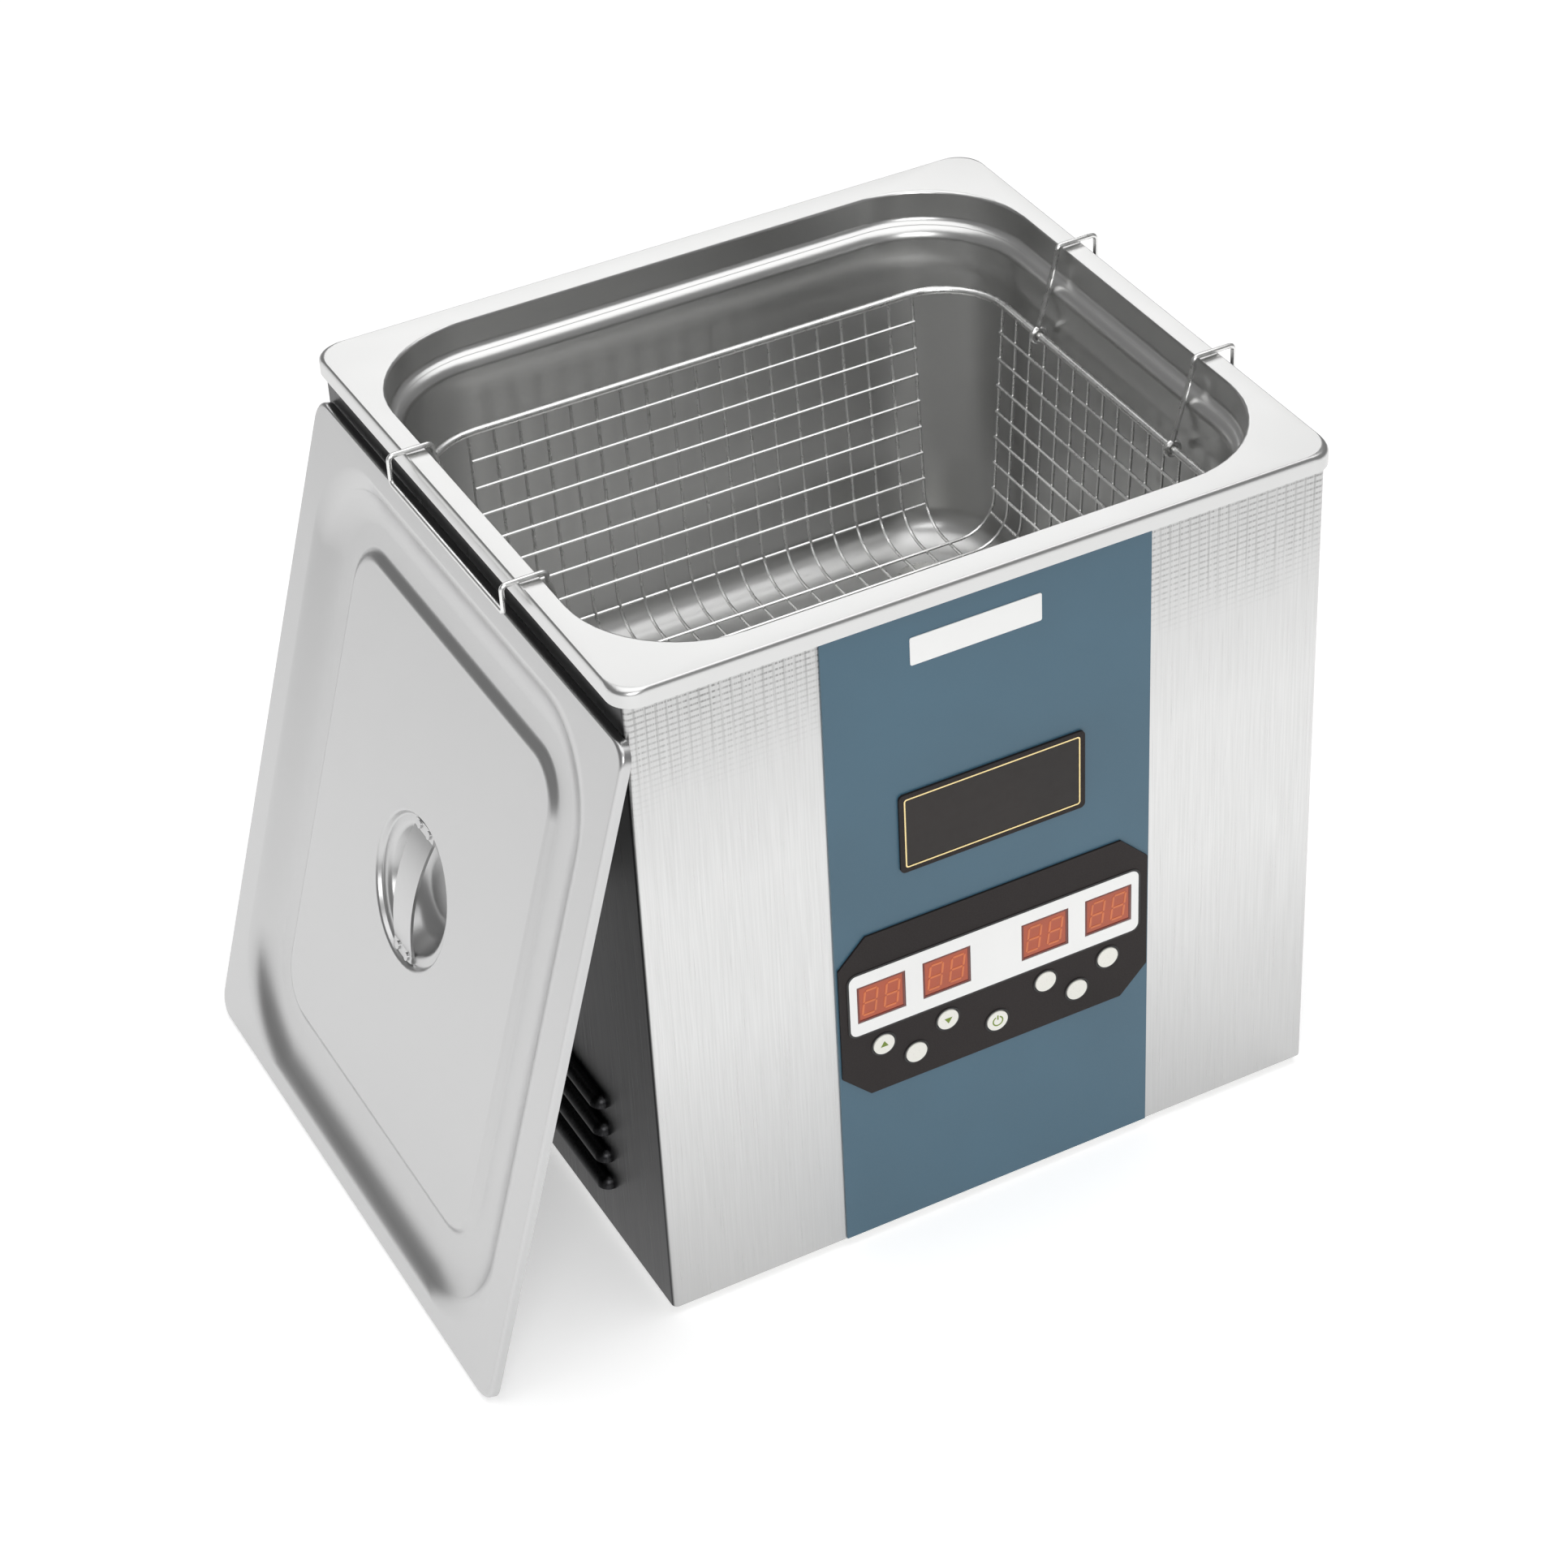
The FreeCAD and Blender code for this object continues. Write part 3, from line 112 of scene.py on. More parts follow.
def finish(piece, body, slot, material, replaced=(), smooth=35, weighted=True):
    """Smooths a piece, gives it its finish and body, and hides the nodes that it stands for; its slot is not
    used.
    """
    only(piece)
    bpy.ops.object.transform_apply(location=True, rotation=True, scale=True)
    if smooth:
        bpy.ops.object.shade_smooth_by_angle(angle=math.radians(smooth))
    if smooth and weighted:
        apply_modifier(piece, "WEIGHTED_NORMAL", keep_sharp=True, weight=80)
    if material is not None:
        piece.data.materials.clear()
        piece.data.materials.append(material)
    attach(piece, body)
    if replaced:
        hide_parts(*replaced)
    return piece


CORNER_STEPS = 8


def add_outline(number, w, d, r, z, cx, cy, steps):
    """A flat rounded rectangle of edges, added to the piece in edit mode and tagged with its number."""
    bpy.ops.mesh.select_all(action="DESELECT")
    bpy.ops.mesh.primitive_plane_add(size=1, location=(cx, cy, z))
    bpy.ops.transform.resize(value=(w, d, 1), center_override=(cx, cy, z))
    bpy.ops.mesh.bevel(offset=r, segments=steps, affect="VERTICES", profile=0.5)
    tag(number)


def add_ring(number, r, z, cx, cy, count):
    """A flat circle of edges, added to the piece in edit mode and tagged with its number."""
    bpy.ops.mesh.select_all(action="DESELECT")
    bpy.ops.mesh.primitive_circle_add(vertices=count, radius=r, fill_type="NGON", location=(cx, cy, z))
    tag(number)


def tag(number):
    """Marks the selected vertices with their outline's number."""
    mesh = bmesh.from_edit_mesh(bpy.context.object.data)
    layer = mesh.verts.layers.int.get("outline") or mesh.verts.layers.int.new("outline")
    for vert in mesh.verts:
        if vert.select:
            vert[layer] = number
    bmesh.update_edit_mesh(bpy.context.object.data)


def pick_between(low, high):
    """Selects the edges that lie within outlines low to high, each in one outline."""
    mesh = bmesh.from_edit_mesh(bpy.context.object.data)
    layer = mesh.verts.layers.int.get("outline")
    pick("edges", lambda e: e.verts[0][layer] == e.verts[1][layer] and low <= e.verts[0][layer] <= high)


def spot(vert):
    """A vertex's place to a hundredth of a millimetre."""
    return tuple(round(c * 100000) for c in vert.co)


def outline_seats(number):
    mesh = bmesh.from_edit_mesh(bpy.context.object.data)
    layer = mesh.verts.layers.int.get("outline")
    return {spot(vert) for vert in mesh.verts if vert[layer] == number}


def stack(name, outlines, cap_first=False, cap_last=True, steps=CORNER_STEPS, folds=()):
    """
    A pressed skin: rounded outlines bridged one to the next. An outline is (w, d, r, z, cx, cy) in metres or
    ("ring", r, z, cx, cy). folds gives (outline number, radius, segments) for the folds to round off.
    """
    deselect()
    bpy.ops.mesh.primitive_cube_add(size=0.001)
    piece = start(name)
    edit(piece)
    bpy.ops.mesh.select_all(action="SELECT")
    bpy.ops.mesh.delete(type="VERT")
    for number, outline in enumerate(outlines, 1):
        if outline[0] == "ring":
            add_ring(number, *outline[1:], 4 * (steps + 1))
        else:
            add_outline(number, *outline, steps)
    last = len(outlines)
    pick("faces", lambda f: True)
    bpy.ops.mesh.delete(type="ONLY_FACE")
    for number in range(1, last):
        pick_between(number, number + 1)
        bpy.ops.mesh.bridge_edge_loops()
    for wanted, number in ((cap_first, 1), (cap_last, last)):
        if wanted:
            pick_between(number, number)
            bpy.ops.mesh.edge_face_add()
    bpy.ops.mesh.select_all(action="SELECT")
    bpy.ops.mesh.normals_make_consistent(inside=False)
    seats = {number: outline_seats(number) for number, _, _ in folds}
    for number, radius, segments in folds:
        seat = seats[number]
        pick("edges", lambda e: spot(e.verts[0]) in seat and spot(e.verts[1]) in seat)
        bpy.ops.mesh.bevel(offset=radius, segments=segments, affect="EDGES", profile=0.5, clamp_overlap=False)
    leave()
    return piece


def open_tube(points, radius, bend, sides, steps):
    """Sides of a bent round wire, extruded along its straights and spun round its bends, in edit mode."""
    way = (points[1] - points[0]).normalized()
    turn = way.to_track_quat("Z", "Y").to_euler()
    bpy.ops.mesh.primitive_circle_add(vertices=sides, radius=radius, fill_type="NOTHING", location=points[0],
                                      rotation=turn)
    edit()
    bpy.ops.mesh.select_all(action="SELECT")
    here = points[0].copy()
    for before, corner, after in zip(points, points[1:], points[2:]):
        back = (before - corner).normalized()
        ahead = (after - corner).normalized()
        half = back.angle(ahead) / 2
        if half > math.radians(89.5):
            continue
        reach = bend / math.tan(half)
        enter = corner + back * reach
        centre = corner + (back + ahead).normalized() * (bend / math.sin(half))
        axis = (-back).cross(ahead).normalized()
        if (enter - here).length > 1e-5:
            bpy.ops.mesh.extrude_region_move(TRANSFORM_OT_translate={"value": enter - here})
        bpy.ops.mesh.spin(steps=steps, angle=-(math.pi - 2 * half), center=centre, axis=axis)
        here = corner + ahead * reach
    bpy.ops.mesh.extrude_region_move(TRANSFORM_OT_translate={"value": points[-1] - here})


def wire(name, points, radius, bend=0.0, sides=8, steps=5, closed=False):
    """A bent round wire with closed ends, or a closed ring whose last point is its first."""
    deselect()
    open_tube([Vector(p) for p in points], radius, bend, sides, steps)
    bpy.ops.mesh.select_all(action="SELECT")
    if closed:
        bpy.ops.mesh.remove_doubles(threshold=1e-5)
    else:
        bpy.ops.mesh.fill_holes(sides=0)
        bpy.ops.mesh.select_all(action="SELECT")
    bpy.ops.mesh.normals_make_consistent(inside=False)
    leave()
    bpy.ops.object.transform_apply(location=True, rotation=True, scale=True)
    return start(name)


def thicken(thickness):
    """Gives the flat piece in edit mode its thickness and leaves edit mode."""
    bpy.ops.mesh.select_all(action="SELECT")
    bpy.ops.mesh.extrude_region_move(TRANSFORM_OT_translate={"value": (0, 0, thickness)})
    bpy.ops.mesh.select_all(action="SELECT")
    bpy.ops.mesh.normals_make_consistent(inside=False)
    leave()


def slab(name, low, high, bevel=0.0, segments=2):
    """A block between two corners, its edges rounded off."""
    deselect()
    low, high = Vector(low), Vector(high)
    bpy.ops.mesh.primitive_cube_add(size=1, location=(low + high) / 2)
    piece = start(name)
    piece.scale = high - low
    bpy.ops.object.transform_apply(location=True, rotation=False, scale=True)
    if bevel:
        edit(piece)
        bpy.ops.mesh.select_all(action="SELECT")
        bpy.ops.mesh.bevel(offset=bevel, segments=segments, affect="EDGES", profile=0.5)
        leave()
    return piece


def stand_up(piece, y):
    """Turns a flat piece upright: its x stays, its y becomes height, z = 0 comes to depth y."""
    only(piece)
    bpy.ops.object.transform_apply(location=True, rotation=True, scale=True)
    piece.matrix_world = Matrix.Translation((0, y, 0)) @ UPRIGHT
    bpy.ops.object.transform_apply(location=True, rotation=True, scale=True)
    return piece


def copy_of(piece, name, offset=(0, 0, 0)):
    only(piece)
    bpy.ops.object.duplicate(linked=False)
    twin = start(name)
    twin.location = Vector(offset)
    bpy.ops.object.transform_apply(location=True, rotation=False, scale=False)
    return twin


# ---------------------------------------------------------------- material helpers
class Finish:
    """A principled material with the helpers that its patterns need."""

    def __init__(self, name, colour, metallic=0.0, roughness=0.5, **sockets):
        self.material = bpy.data.materials.new(name)
        self.material.use_nodes = True
        self.nodes = self.material.node_tree.nodes
        self.links = self.material.node_tree.links
        self.shader = self.nodes["Principled BSDF"]
        self.set("Base Color", (*colour, 1))
        self.set("Metallic", metallic)
        self.set("Roughness", roughness)
        for key, value in sockets.items():
            self.set(key.replace("_", " "), value)
        self.material.diffuse_color = (*colour, 1)

    def set(self, socket, value):
        self.shader.inputs[socket].default_value = value

    def node(self, kind, **settings):
        made = self.nodes.new(kind)
        for key, value in settings.items():
            setattr(made, key, value)
        return made

    def place(self, stretch=(1, 1, 1)):
        """Object coordinates in metres, stretched."""
        where = self.node("ShaderNodeTexCoord")
        mapping = self.node("ShaderNodeMapping")
        mapping.inputs["Scale"].default_value = stretch
        self.links.new(where.outputs["Object"], mapping.inputs["Vector"])
        return mapping.outputs["Vector"]

    def noise(self, scale, stretch=(1, 1, 1), detail=3.0):
        noise = self.node("ShaderNodeTexNoise")
        noise.inputs["Scale"].default_value = scale
        noise.inputs["Detail"].default_value = detail
        self.links.new(self.place(stretch), noise.inputs["Vector"])
        return noise.outputs["Fac"]

    def spread(self, source, low, high, start_at=0.3, end_at=0.7):
        """Maps a pattern's middle range to low..high."""
        spread = self.node("ShaderNodeMapRange")
        self.links.new(source, spread.inputs["Value"])
        spread.inputs["From Min"].default_value = start_at
        spread.inputs["From Max"].default_value = end_at
        spread.inputs["To Min"].default_value = low
        spread.inputs["To Max"].default_value = high
        return spread.outputs["Result"]

    def math(self, operation, a, b=0.5):
        made = self.node("ShaderNodeMath", operation=operation)
        for socket, value in zip(made.inputs, (a, b)):
            if isinstance(value, (int, float)):
                socket.default_value = value
            else:
                self.links.new(value, socket)
        return made.outputs["Value"]

    def blend(self, factor, first, second):
        """Mixes two colours, each a tuple or a socket."""
        mix = self.node("ShaderNodeMix", data_type="RGBA")
        self.links.new(factor, mix.inputs["Factor"])
        for name, value in (("A", first), ("B", second)):
            socket = [s for s in mix.inputs if s.name == name and s.type == "RGBA"][0]
            if isinstance(value, tuple):
                socket.default_value = (*value, 1)
            else:
                self.links.new(value, socket)
        return [s for s in mix.outputs if s.type == "RGBA"][0]

    def colour(self, socket):
        self.links.new(socket, self.shader.inputs["Base Color"])

    def rough(self, socket):
        self.links.new(socket, self.shader.inputs["Roughness"])

    def relief(self, height, strength, distance=0.0002):
        bump = self.node("ShaderNodeBump")
        bump.inputs["Strength"].default_value = strength
        bump.inputs["Distance"].default_value = distance
        self.links.new(height, bump.inputs["Height"])
        self.links.new(bump.outputs["Normal"], self.shader.inputs["Normal"])

    def height(self):
        """The object's own z, in metres."""
        split = self.node("ShaderNodeSeparateXYZ")
        self.links.new(self.place(), split.inputs["Vector"])
        return split.outputs["Z"]


def brushed(name, colour, roughness, grain, grain_scale, mottling=0.06, relief=0.12, unevenness=1.0):
    """Steel with a grain: fine streaks in roughness and height, and a faint cloudiness in colour."""
    finish = Finish(name, colour, metallic=1.0, roughness=roughness)
    fine = finish.noise(grain_scale, grain, 4)
    cloud = finish.noise(9, (1, 1, 1), 2)
    dark = tuple(c * (1 - mottling) for c in colour)
    light = tuple(min(1, c * (1 + mottling)) for c in colour)
    both = finish.math("ADD", finish.math("MULTIPLY", fine, 0.7), finish.math("MULTIPLY", cloud, 0.3))
    finish.colour(finish.blend(finish.spread(both, 0, 1), dark, light))
    smoothest, roughest = roughness * (1 - 0.25 * unevenness), roughness * (1 + 0.3 * unevenness)
    finish.rough(finish.spread(fine, smoothest, roughest))
    finish.relief(fine, relief, 0.00015)
    return finish


def plastic(name, colour, roughness, grain_scale=900, relief=0.08, variation=0.08, **sockets):
    """Moulded plastic, rubber or paint: a fine texture and a little variation in tone."""
    finish = Finish(name, colour, roughness=roughness, **sockets)
    grain = finish.noise(grain_scale, (1, 1, 1), 3)
    cloud = finish.noise(14, (1, 1, 1), 2)
    dark = tuple(c * (1 - variation) for c in colour)
    light = tuple(min(1, c * (1 + variation)) for c in colour)
    finish.colour(finish.blend(finish.spread(cloud, 0, 1), dark, light))
    finish.rough(finish.spread(grain, roughness * 0.85, min(1, roughness * 1.15)))
    finish.relief(grain, relief, 0.0001)
    return finish


# ---------------------------------------------------------------- finishes
def bands(finish, direction, scale, wobble):
    """Fine even lines across one of the object's axes."""
    wave = finish.node("ShaderNodeTexWave", wave_type="BANDS", bands_direction=direction)
    wave.inputs["Scale"].default_value = scale
    wave.inputs["Distortion"].default_value = wobble
    wave.inputs["Detail"].default_value = 1
    finish.links.new(finish.place(), wave.inputs["Vector"])
    return wave.outputs["Fac"]


def housing_steel():
    """Upright brushing, with painted shade darker towards rim and foot, and cross lines below the rim; the
    side walls are painted near-black as painted shade.
    """
    finish = Finish("brushed_sheet", (0.72, 0.72, 0.71), metallic=1.0, roughness=0.3)
    grain = finish.noise(60, (18, 18, 0.35), 3)
    scratch = finish.noise(45, (34, 34, 0.6), 2)
    patch = finish.noise(16, (1, 1, 1.6), 2)
    base = finish.blend(finish.spread(grain, 0, 1), (0.62, 0.62, 0.615), (0.7, 0.7, 0.695))
    # painted shade: the front is darkened towards the foot and towards the rim by height, standing for the
    # darker floor it reflects there
    painted_shade_foot = finish.spread(finish.height(), 0.6, 0, 0.0, 0.16)
    painted_shade_rim = finish.spread(finish.height(), 0, 0.45, 0.24, 0.355)
    base = finish.blend(finish.math("ADD", painted_shade_foot, painted_shade_rim), base, (0.4, 0.4, 0.4))
    base = finish.blend(finish.spread(scratch, 0, 0.4, 0.68, 0.8), base, (0.3, 0.3, 0.3))
    level = finish.spread(bands(finish, "Z", 100, 0.4), 1, 0, 0.12, 0.4)
    upright = finish.spread(bands(finish, "X", 62, 0.5), 0.6, 0, 0.05, 0.2)
    lines = finish.math("MAXIMUM", level, upright)
    edge = finish.math("ADD", finish.height(), finish.math("MULTIPLY", patch, 0.06))
    fade = finish.spread(edge, 0, 0.75, 0.325, 0.39)
    worn = finish.spread(scratch, 0.2, 1, 0.35, 0.6)
    lines = finish.math("MULTIPLY", finish.math("MULTIPLY", lines, fade), worn)
    front = finish.blend(lines, base, (0.12, 0.12, 0.115))
    split = finish.node("ShaderNodeSeparateXYZ")
    finish.links.new(finish.place(), split.inputs["Vector"])
    panel_low, panel_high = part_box("front_panel")
    centre = (panel_low[0] + panel_high[0]) / 2
    sideways = finish.math("ABSOLUTE", finish.math("SUBTRACT", split.outputs["X"], centre), 0)
    # painted shade: both side walls are painted near-black, standing for the shade and dark reflection of the
    # leaning lid on the left wall
    side = finish.blend(finish.spread(grain, 0, 1), (0.022, 0.022, 0.023), (0.04, 0.04, 0.042))
    finish.colour(finish.blend(finish.spread(sideways, 0, 1, 0.1741, 0.1748), front, side))
    finish.rough(finish.spread(grain, 0.27, 0.36))
    finish.relief(grain, 0.05, 0.0001)
    return finish.material


steel_front = housing_steel()
steel_rear = brushed("satin_sheet", (0.6, 0.6, 0.59), 0.38, (1, 1, 18), 40).material
steel_tank = brushed("pressed_tank", (0.64, 0.64, 0.635), 0.3, (1, 1, 3), 40, 0.01, 0.001, 0.1).material
steel_lid = brushed("satin_lid", (0.56, 0.56, 0.56), 0.32, (2, 1, 1), 50, 0.01, 0.002, 0.15).material
steel_wire = brushed("drawn_wire", (0.8, 0.8, 0.79), 0.3, (1, 1, 1), 300, 0.05, 0.03).material
steel_plated = brushed("plated_steel", (0.62, 0.62, 0.6), 0.3, (1, 1, 1), 300, 0.08, 0.1).material
blue_paint = plastic("blue_paint", (0.036, 0.105, 0.158), 0.42, 1600, 0.1, 0.06,
                     Coat_Weight=0.25, Coat_Roughness=0.25).material
white_film = plastic("white_film", (0.86, 0.86, 0.85), 0.4, 700, 0.03, 0.02).material
dark_film = plastic("dark_film", (0.016, 0.0115, 0.011), 0.55, 1500, 0.06, 0.12,
                    Specular_IOR_Level=0.25).material
black_line = plastic("black_line", (0.008, 0.008, 0.008), 0.4, 900, 0.05, 0.1).material
gold_line = brushed("gold_line", (0.83, 0.66, 0.33), 0.25, (1, 1, 1), 500, 0.1, 0.05).material
window_glass = plastic("window_tint", (0.012, 0.008, 0.0065), 0.4, 300, 0.01, 0.2,
                       Specular_IOR_Level=0.35).material
key_white = plastic("key_white", (0.8, 0.79, 0.73), 0.3, 900, 0.04, 0.03, Coat_Weight=0.3).material
olive_print = plastic("olive_print", (0.16, 0.24, 0.015), 0.45, 800, 0.03, 0.15).material
rubber_black = plastic("foot_rubber", (0.02, 0.02, 0.02), 0.75, 500, 0.25, 0.2).material
black_plastic = plastic("black_moulding", (0.022, 0.022, 0.023), 0.5, 800, 0.2, 0.15).material
board_green = plastic("solder_mask", (0.02, 0.13, 0.05), 0.35, 300, 0.1, 0.25).material
nylon = plastic("nylon", (0.72, 0.71, 0.66), 0.45, 500, 0.1, 0.08).material
ceramic = plastic("fired_ceramic", (0.6, 0.55, 0.44), 0.55, 300, 0.1, 0.1).material
silicone = plastic("heater_silicone", (0.35, 0.07, 0.03), 0.6, 500, 0.15, 0.12).material
winding = plastic("taped_winding", (0.3, 0.16, 0.04), 0.45, 500, 0.15, 0.25).material
brass_plain = brushed("turned_brass", (0.72, 0.55, 0.26), 0.28, (14, 1, 1), 60, 0.08, 0.1).material
aluminium = brushed("turned_aluminium", (0.75, 0.75, 0.76), 0.32, (1, 1, 14), 80, 0.06, 0.1).material


def display_red(name, colour, glow, strength):
    """The red filter of the displays, faintly lit from behind."""
    finish = Finish(name, colour, roughness=0.28, Coat_Weight=0.4, Coat_Roughness=0.1)
    cloud = finish.noise(70, (1, 1, 1), 2)
    finish.colour(finish.blend(finish.spread(cloud, 0, 1), tuple(c * 0.85 for c in colour), colour))
    finish.set("Emission Color", (*glow, 1))
    finish.set("Emission Strength", strength)
    finish.relief(cloud, 0.03, 0.0001)
    return finish.material


display_face = display_red("display_filter", (0.3, 0.035, 0.002), (1.0, 0.16, 0.01), 0.12)
display_edge = display_red("display_rim", (0.14, 0.012, 0.003), (1.0, 0.1, 0.02), 0.01)
segment_lit = display_red("display_segment", (0.52, 0.12, 0.022), (1.0, 0.2, 0.03), 0.12)

KEYS = ("button_up", "button_set", "button_down", "button_power", "button_heat", "button_mode",
        "button_pulse")

# Every carried-over node gets its own finish.
node_finish = {
    steel_front: ["housing_wrap"],
    steel_rear: ["rear_panel", "base_plate"],
    steel_tank: ["tank"],
    steel_lid: ["lid_shell", "lid_handle", "lid_rivets"],
    steel_wire: ["basket_rim", "basket_long_walls", "basket_short_walls", "basket_floor",
                 "bail_left", "bail_right", "fan_guard"],
    blue_paint: ["front_panel"],
    white_film: ["name_plate", "display_strip"],
    dark_film: ["control_panel", "lcd_bezel"],
    gold_line: ["lcd_trim"],
    window_glass: ["lcd_window"],
    display_face: ["led_displays"],
    key_white: list(KEYS),
    board_green: ["circuit_boards"],
    black_plastic: ["lcd_module", "tact_switches", "mains_inlet", "fuse_holder", "rocker_housing",
                    "power_rocker", "fan_frame", "fan_rotor"],
    nylon: ["board_spacers"],
    rubber_black: ["feet"],
    steel_plated: ["foot_screws", "rear_screws", "transducer_bolts", "transducer_masses", "valve_lever",
                   "valve_stem", "lever_nut", "drain_strainer", "drain_fitting", "drain_pipe", "pipe_nut"],
    aluminium: ["transducer_horns", "generator_heatsink"],
    ceramic: ["transducer_ceramics"],
    silicone: ["heater_pads"],
    winding: ["output_transformer"],
    brass_plain: ["valve_body", "valve_ball", "inlet_pins", "temperature_sensor"],
}
for material, names in node_finish.items():
    for name in names:
        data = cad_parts[name].data
        data.materials.clear()
        data.materials.append(material)
deselect()


# ---------------------------------------------------------------- places, all from the CAD
def low(node, axis):
    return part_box(node)[0][axis]


def high(node, axis):
    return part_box(node)[1][axis]


def middle(node, axis):
    return (low(node, axis) + high(node, axis)) / 2


X, Y, Z = 0, 1, 2
body_x = middle("front_panel", X)
body_y = middle("tank", Y)
z_top = high("tank", Z)
y_overlay = low("control_panel", Y)


rim_top = z_top / MM
half_rim_w = (high("tank", X) - low("tank", X)) / 2 / MM
half_rim_d = (high("tank", Y) - low("tank", Y)) / 2 / MM
tank_floor = low("drain_strainer", Z) / MM + 4
# width of the rim's flat at each side, and at front and rear
side_flat, end_flat = 11, 15.5


# ---------------------------------------------------------------- tank
def pressed_tank():
    """Rim, upper band, shoulder and bowl, pressed as one skin."""
    w, d = 2 * half_rim_w, 2 * half_rim_d
    open_w, open_d = w - 2 * side_flat, d - 2 * end_flat
    shoulder = 7
    bowl_w, bowl_d = open_w - 2 * shoulder, open_d - 2 * shoulder
    rim_r, open_r, bowl_r = 12, 60, 53

    def ring(width, depth, r, z):
        return (width * MM, depth * MM, r * MM, z * MM, body_x, body_y)
    skin = stack("pressed_tank", [
        ring(w, d, rim_r, rim_top - 9),
        ring(w, d, rim_r, rim_top),
        ring(open_w, open_d, open_r, rim_top - 0.2),
        ring(open_w, open_d, open_r, rim_top - 16.6),
        ring(bowl_w, bowl_d, bowl_r, rim_top - 18.2),
        ring(bowl_w, bowl_d, bowl_r, tank_floor),
    ], steps=12, folds=((6, 0.019, 6), (5, 0.0055, 5), (4, 0.003, 3), (3, 0.0016, 3), (2, 0.0032, 4)))
    apply_modifier(skin, "SOLIDIFY", thickness=0.0014, offset=-1)
    return finish(skin, "housing", "tank_steel", steel_tank, ("tank",), smooth=32)


# ---------------------------------------------------------------- basket and hangers
basket_y = middle("basket_rim", Y)
rim_wire_r = 0.002
basket_half_w = (high("basket_rim", X) - low("basket_rim", X)) / 2 - rim_wire_r
basket_half_d = (high("basket_rim", Y) - low("basket_rim", Y)) / 2 - rim_wire_r
z_rim_wire = middle("basket_rim", Z)
z_mesh = high("basket_floor", Z)
lean_in = 0.008
mesh_wire_r = 0.00085
mesh_pitch = 0.0133
mesh_bend = 0.02
mesh_levels = 8


def rounded_loop(half_w, half_d, z):
    """Corner points of a closed rectangle, begun and ended at the middle of its front side."""
    return [Vector((body_x, basket_y - half_d, z)), Vector((body_x + half_w, basket_y - half_d, z)),
            Vector((body_x + half_w, basket_y + half_d, z)), Vector((body_x - half_w, basket_y + half_d, z)),
            Vector((body_x - half_w, basket_y - half_d, z)), Vector((body_x, basket_y - half_d, z))]


def row_of(first, step, count, name):
    """The first piece and its copies, each a step on."""
    made = [first]
    for i in range(1, count):
        made.append(copy_of(first, "%s_%d" % (name, i), Vector(step) * i))
    return made


def basket_wires():
    """The rim wire, and under it the mesh: hoops both ways and level wires round the walls."""
    loop = rounded_loop(basket_half_w, basket_half_d, z_rim_wire)
    rim = wire("basket_rim_wire", loop, rim_wire_r, 0.036, 12, 8, True)
    finish(rim, "basket", "wire_steel", steel_wire, ("basket_rim",), weighted=False)
    long_half = (high("basket_long_walls", X) - low("basket_long_walls", X)) / 2 - 0.0008
    short_half = (high("basket_short_walls", Y) - low("basket_short_walls", Y)) / 2 - 0.0008
    across = round(2 * long_half / mesh_pitch)
    along = round(2 * short_half / mesh_pitch)
    drop = z_mesh - 0.0008
    inner_d = basket_half_d - lean_in
    inner_w = basket_half_w - lean_in
    # hoops that run down the front, over the floor and up the rear
    x = body_x - long_half
    hoop = wire("hoop_across", [
        (x, basket_y - basket_half_d, z_rim_wire), (x, basket_y - inner_d, drop),
        (x, basket_y + inner_d, drop), (x, basket_y + basket_half_d, z_rim_wire)],
        mesh_wire_r, mesh_bend, 6, 6)
    hoops = row_of(hoop, (2 * long_half / across, 0, 0), across + 1, "hoop_across")
    # hoops that run down the left, over the floor and up the right
    y, lift = basket_y - short_half, 0.0015
    hoop = wire("hoop_along", [
        (body_x - basket_half_w, y, z_rim_wire), (body_x - inner_w, y, drop + lift),
        (body_x + inner_w, y, drop + lift), (body_x + basket_half_w, y, z_rim_wire)],
        mesh_wire_r, mesh_bend, 6, 6)
    rows = row_of(hoop, (0, 2 * short_half / along, 0), along + 1, "hoop_along")
    # level wires round the walls
    depth = z_rim_wire - drop
    walls_long, walls_short = [], []
    for i in range(1, mesh_levels + 1):
        down = depth * i / (mesh_levels + 0.75)
        inset = lean_in * down / depth + mesh_wire_r * 1.6
        z = z_rim_wire - down
        for side in (-1, 1):
            y = basket_y + side * (basket_half_d - inset)
            x = body_x + side * (basket_half_w - inset)
            ends = [(body_x - long_half, y, z), (body_x + long_half, y, z)]
            walls_long.append(wire("level_long", ends, mesh_wire_r, 0, 6))
            ends = [(x, basket_y - short_half, z), (x, basket_y + short_half, z)]
            walls_short.append(wire("level_short", ends, mesh_wire_r, 0, 6))
    long_piece = join("basket_hoops_across", hoops + walls_long)
    short_piece = join("basket_hoops_along", rows + walls_short)
    finish(long_piece, "basket", "wire_steel", steel_wire, ("basket_long_walls", "basket_floor"),
           weighted=False)
    finish(short_piece, "basket", "wire_steel", steel_wire, ("basket_short_walls",), weighted=False)


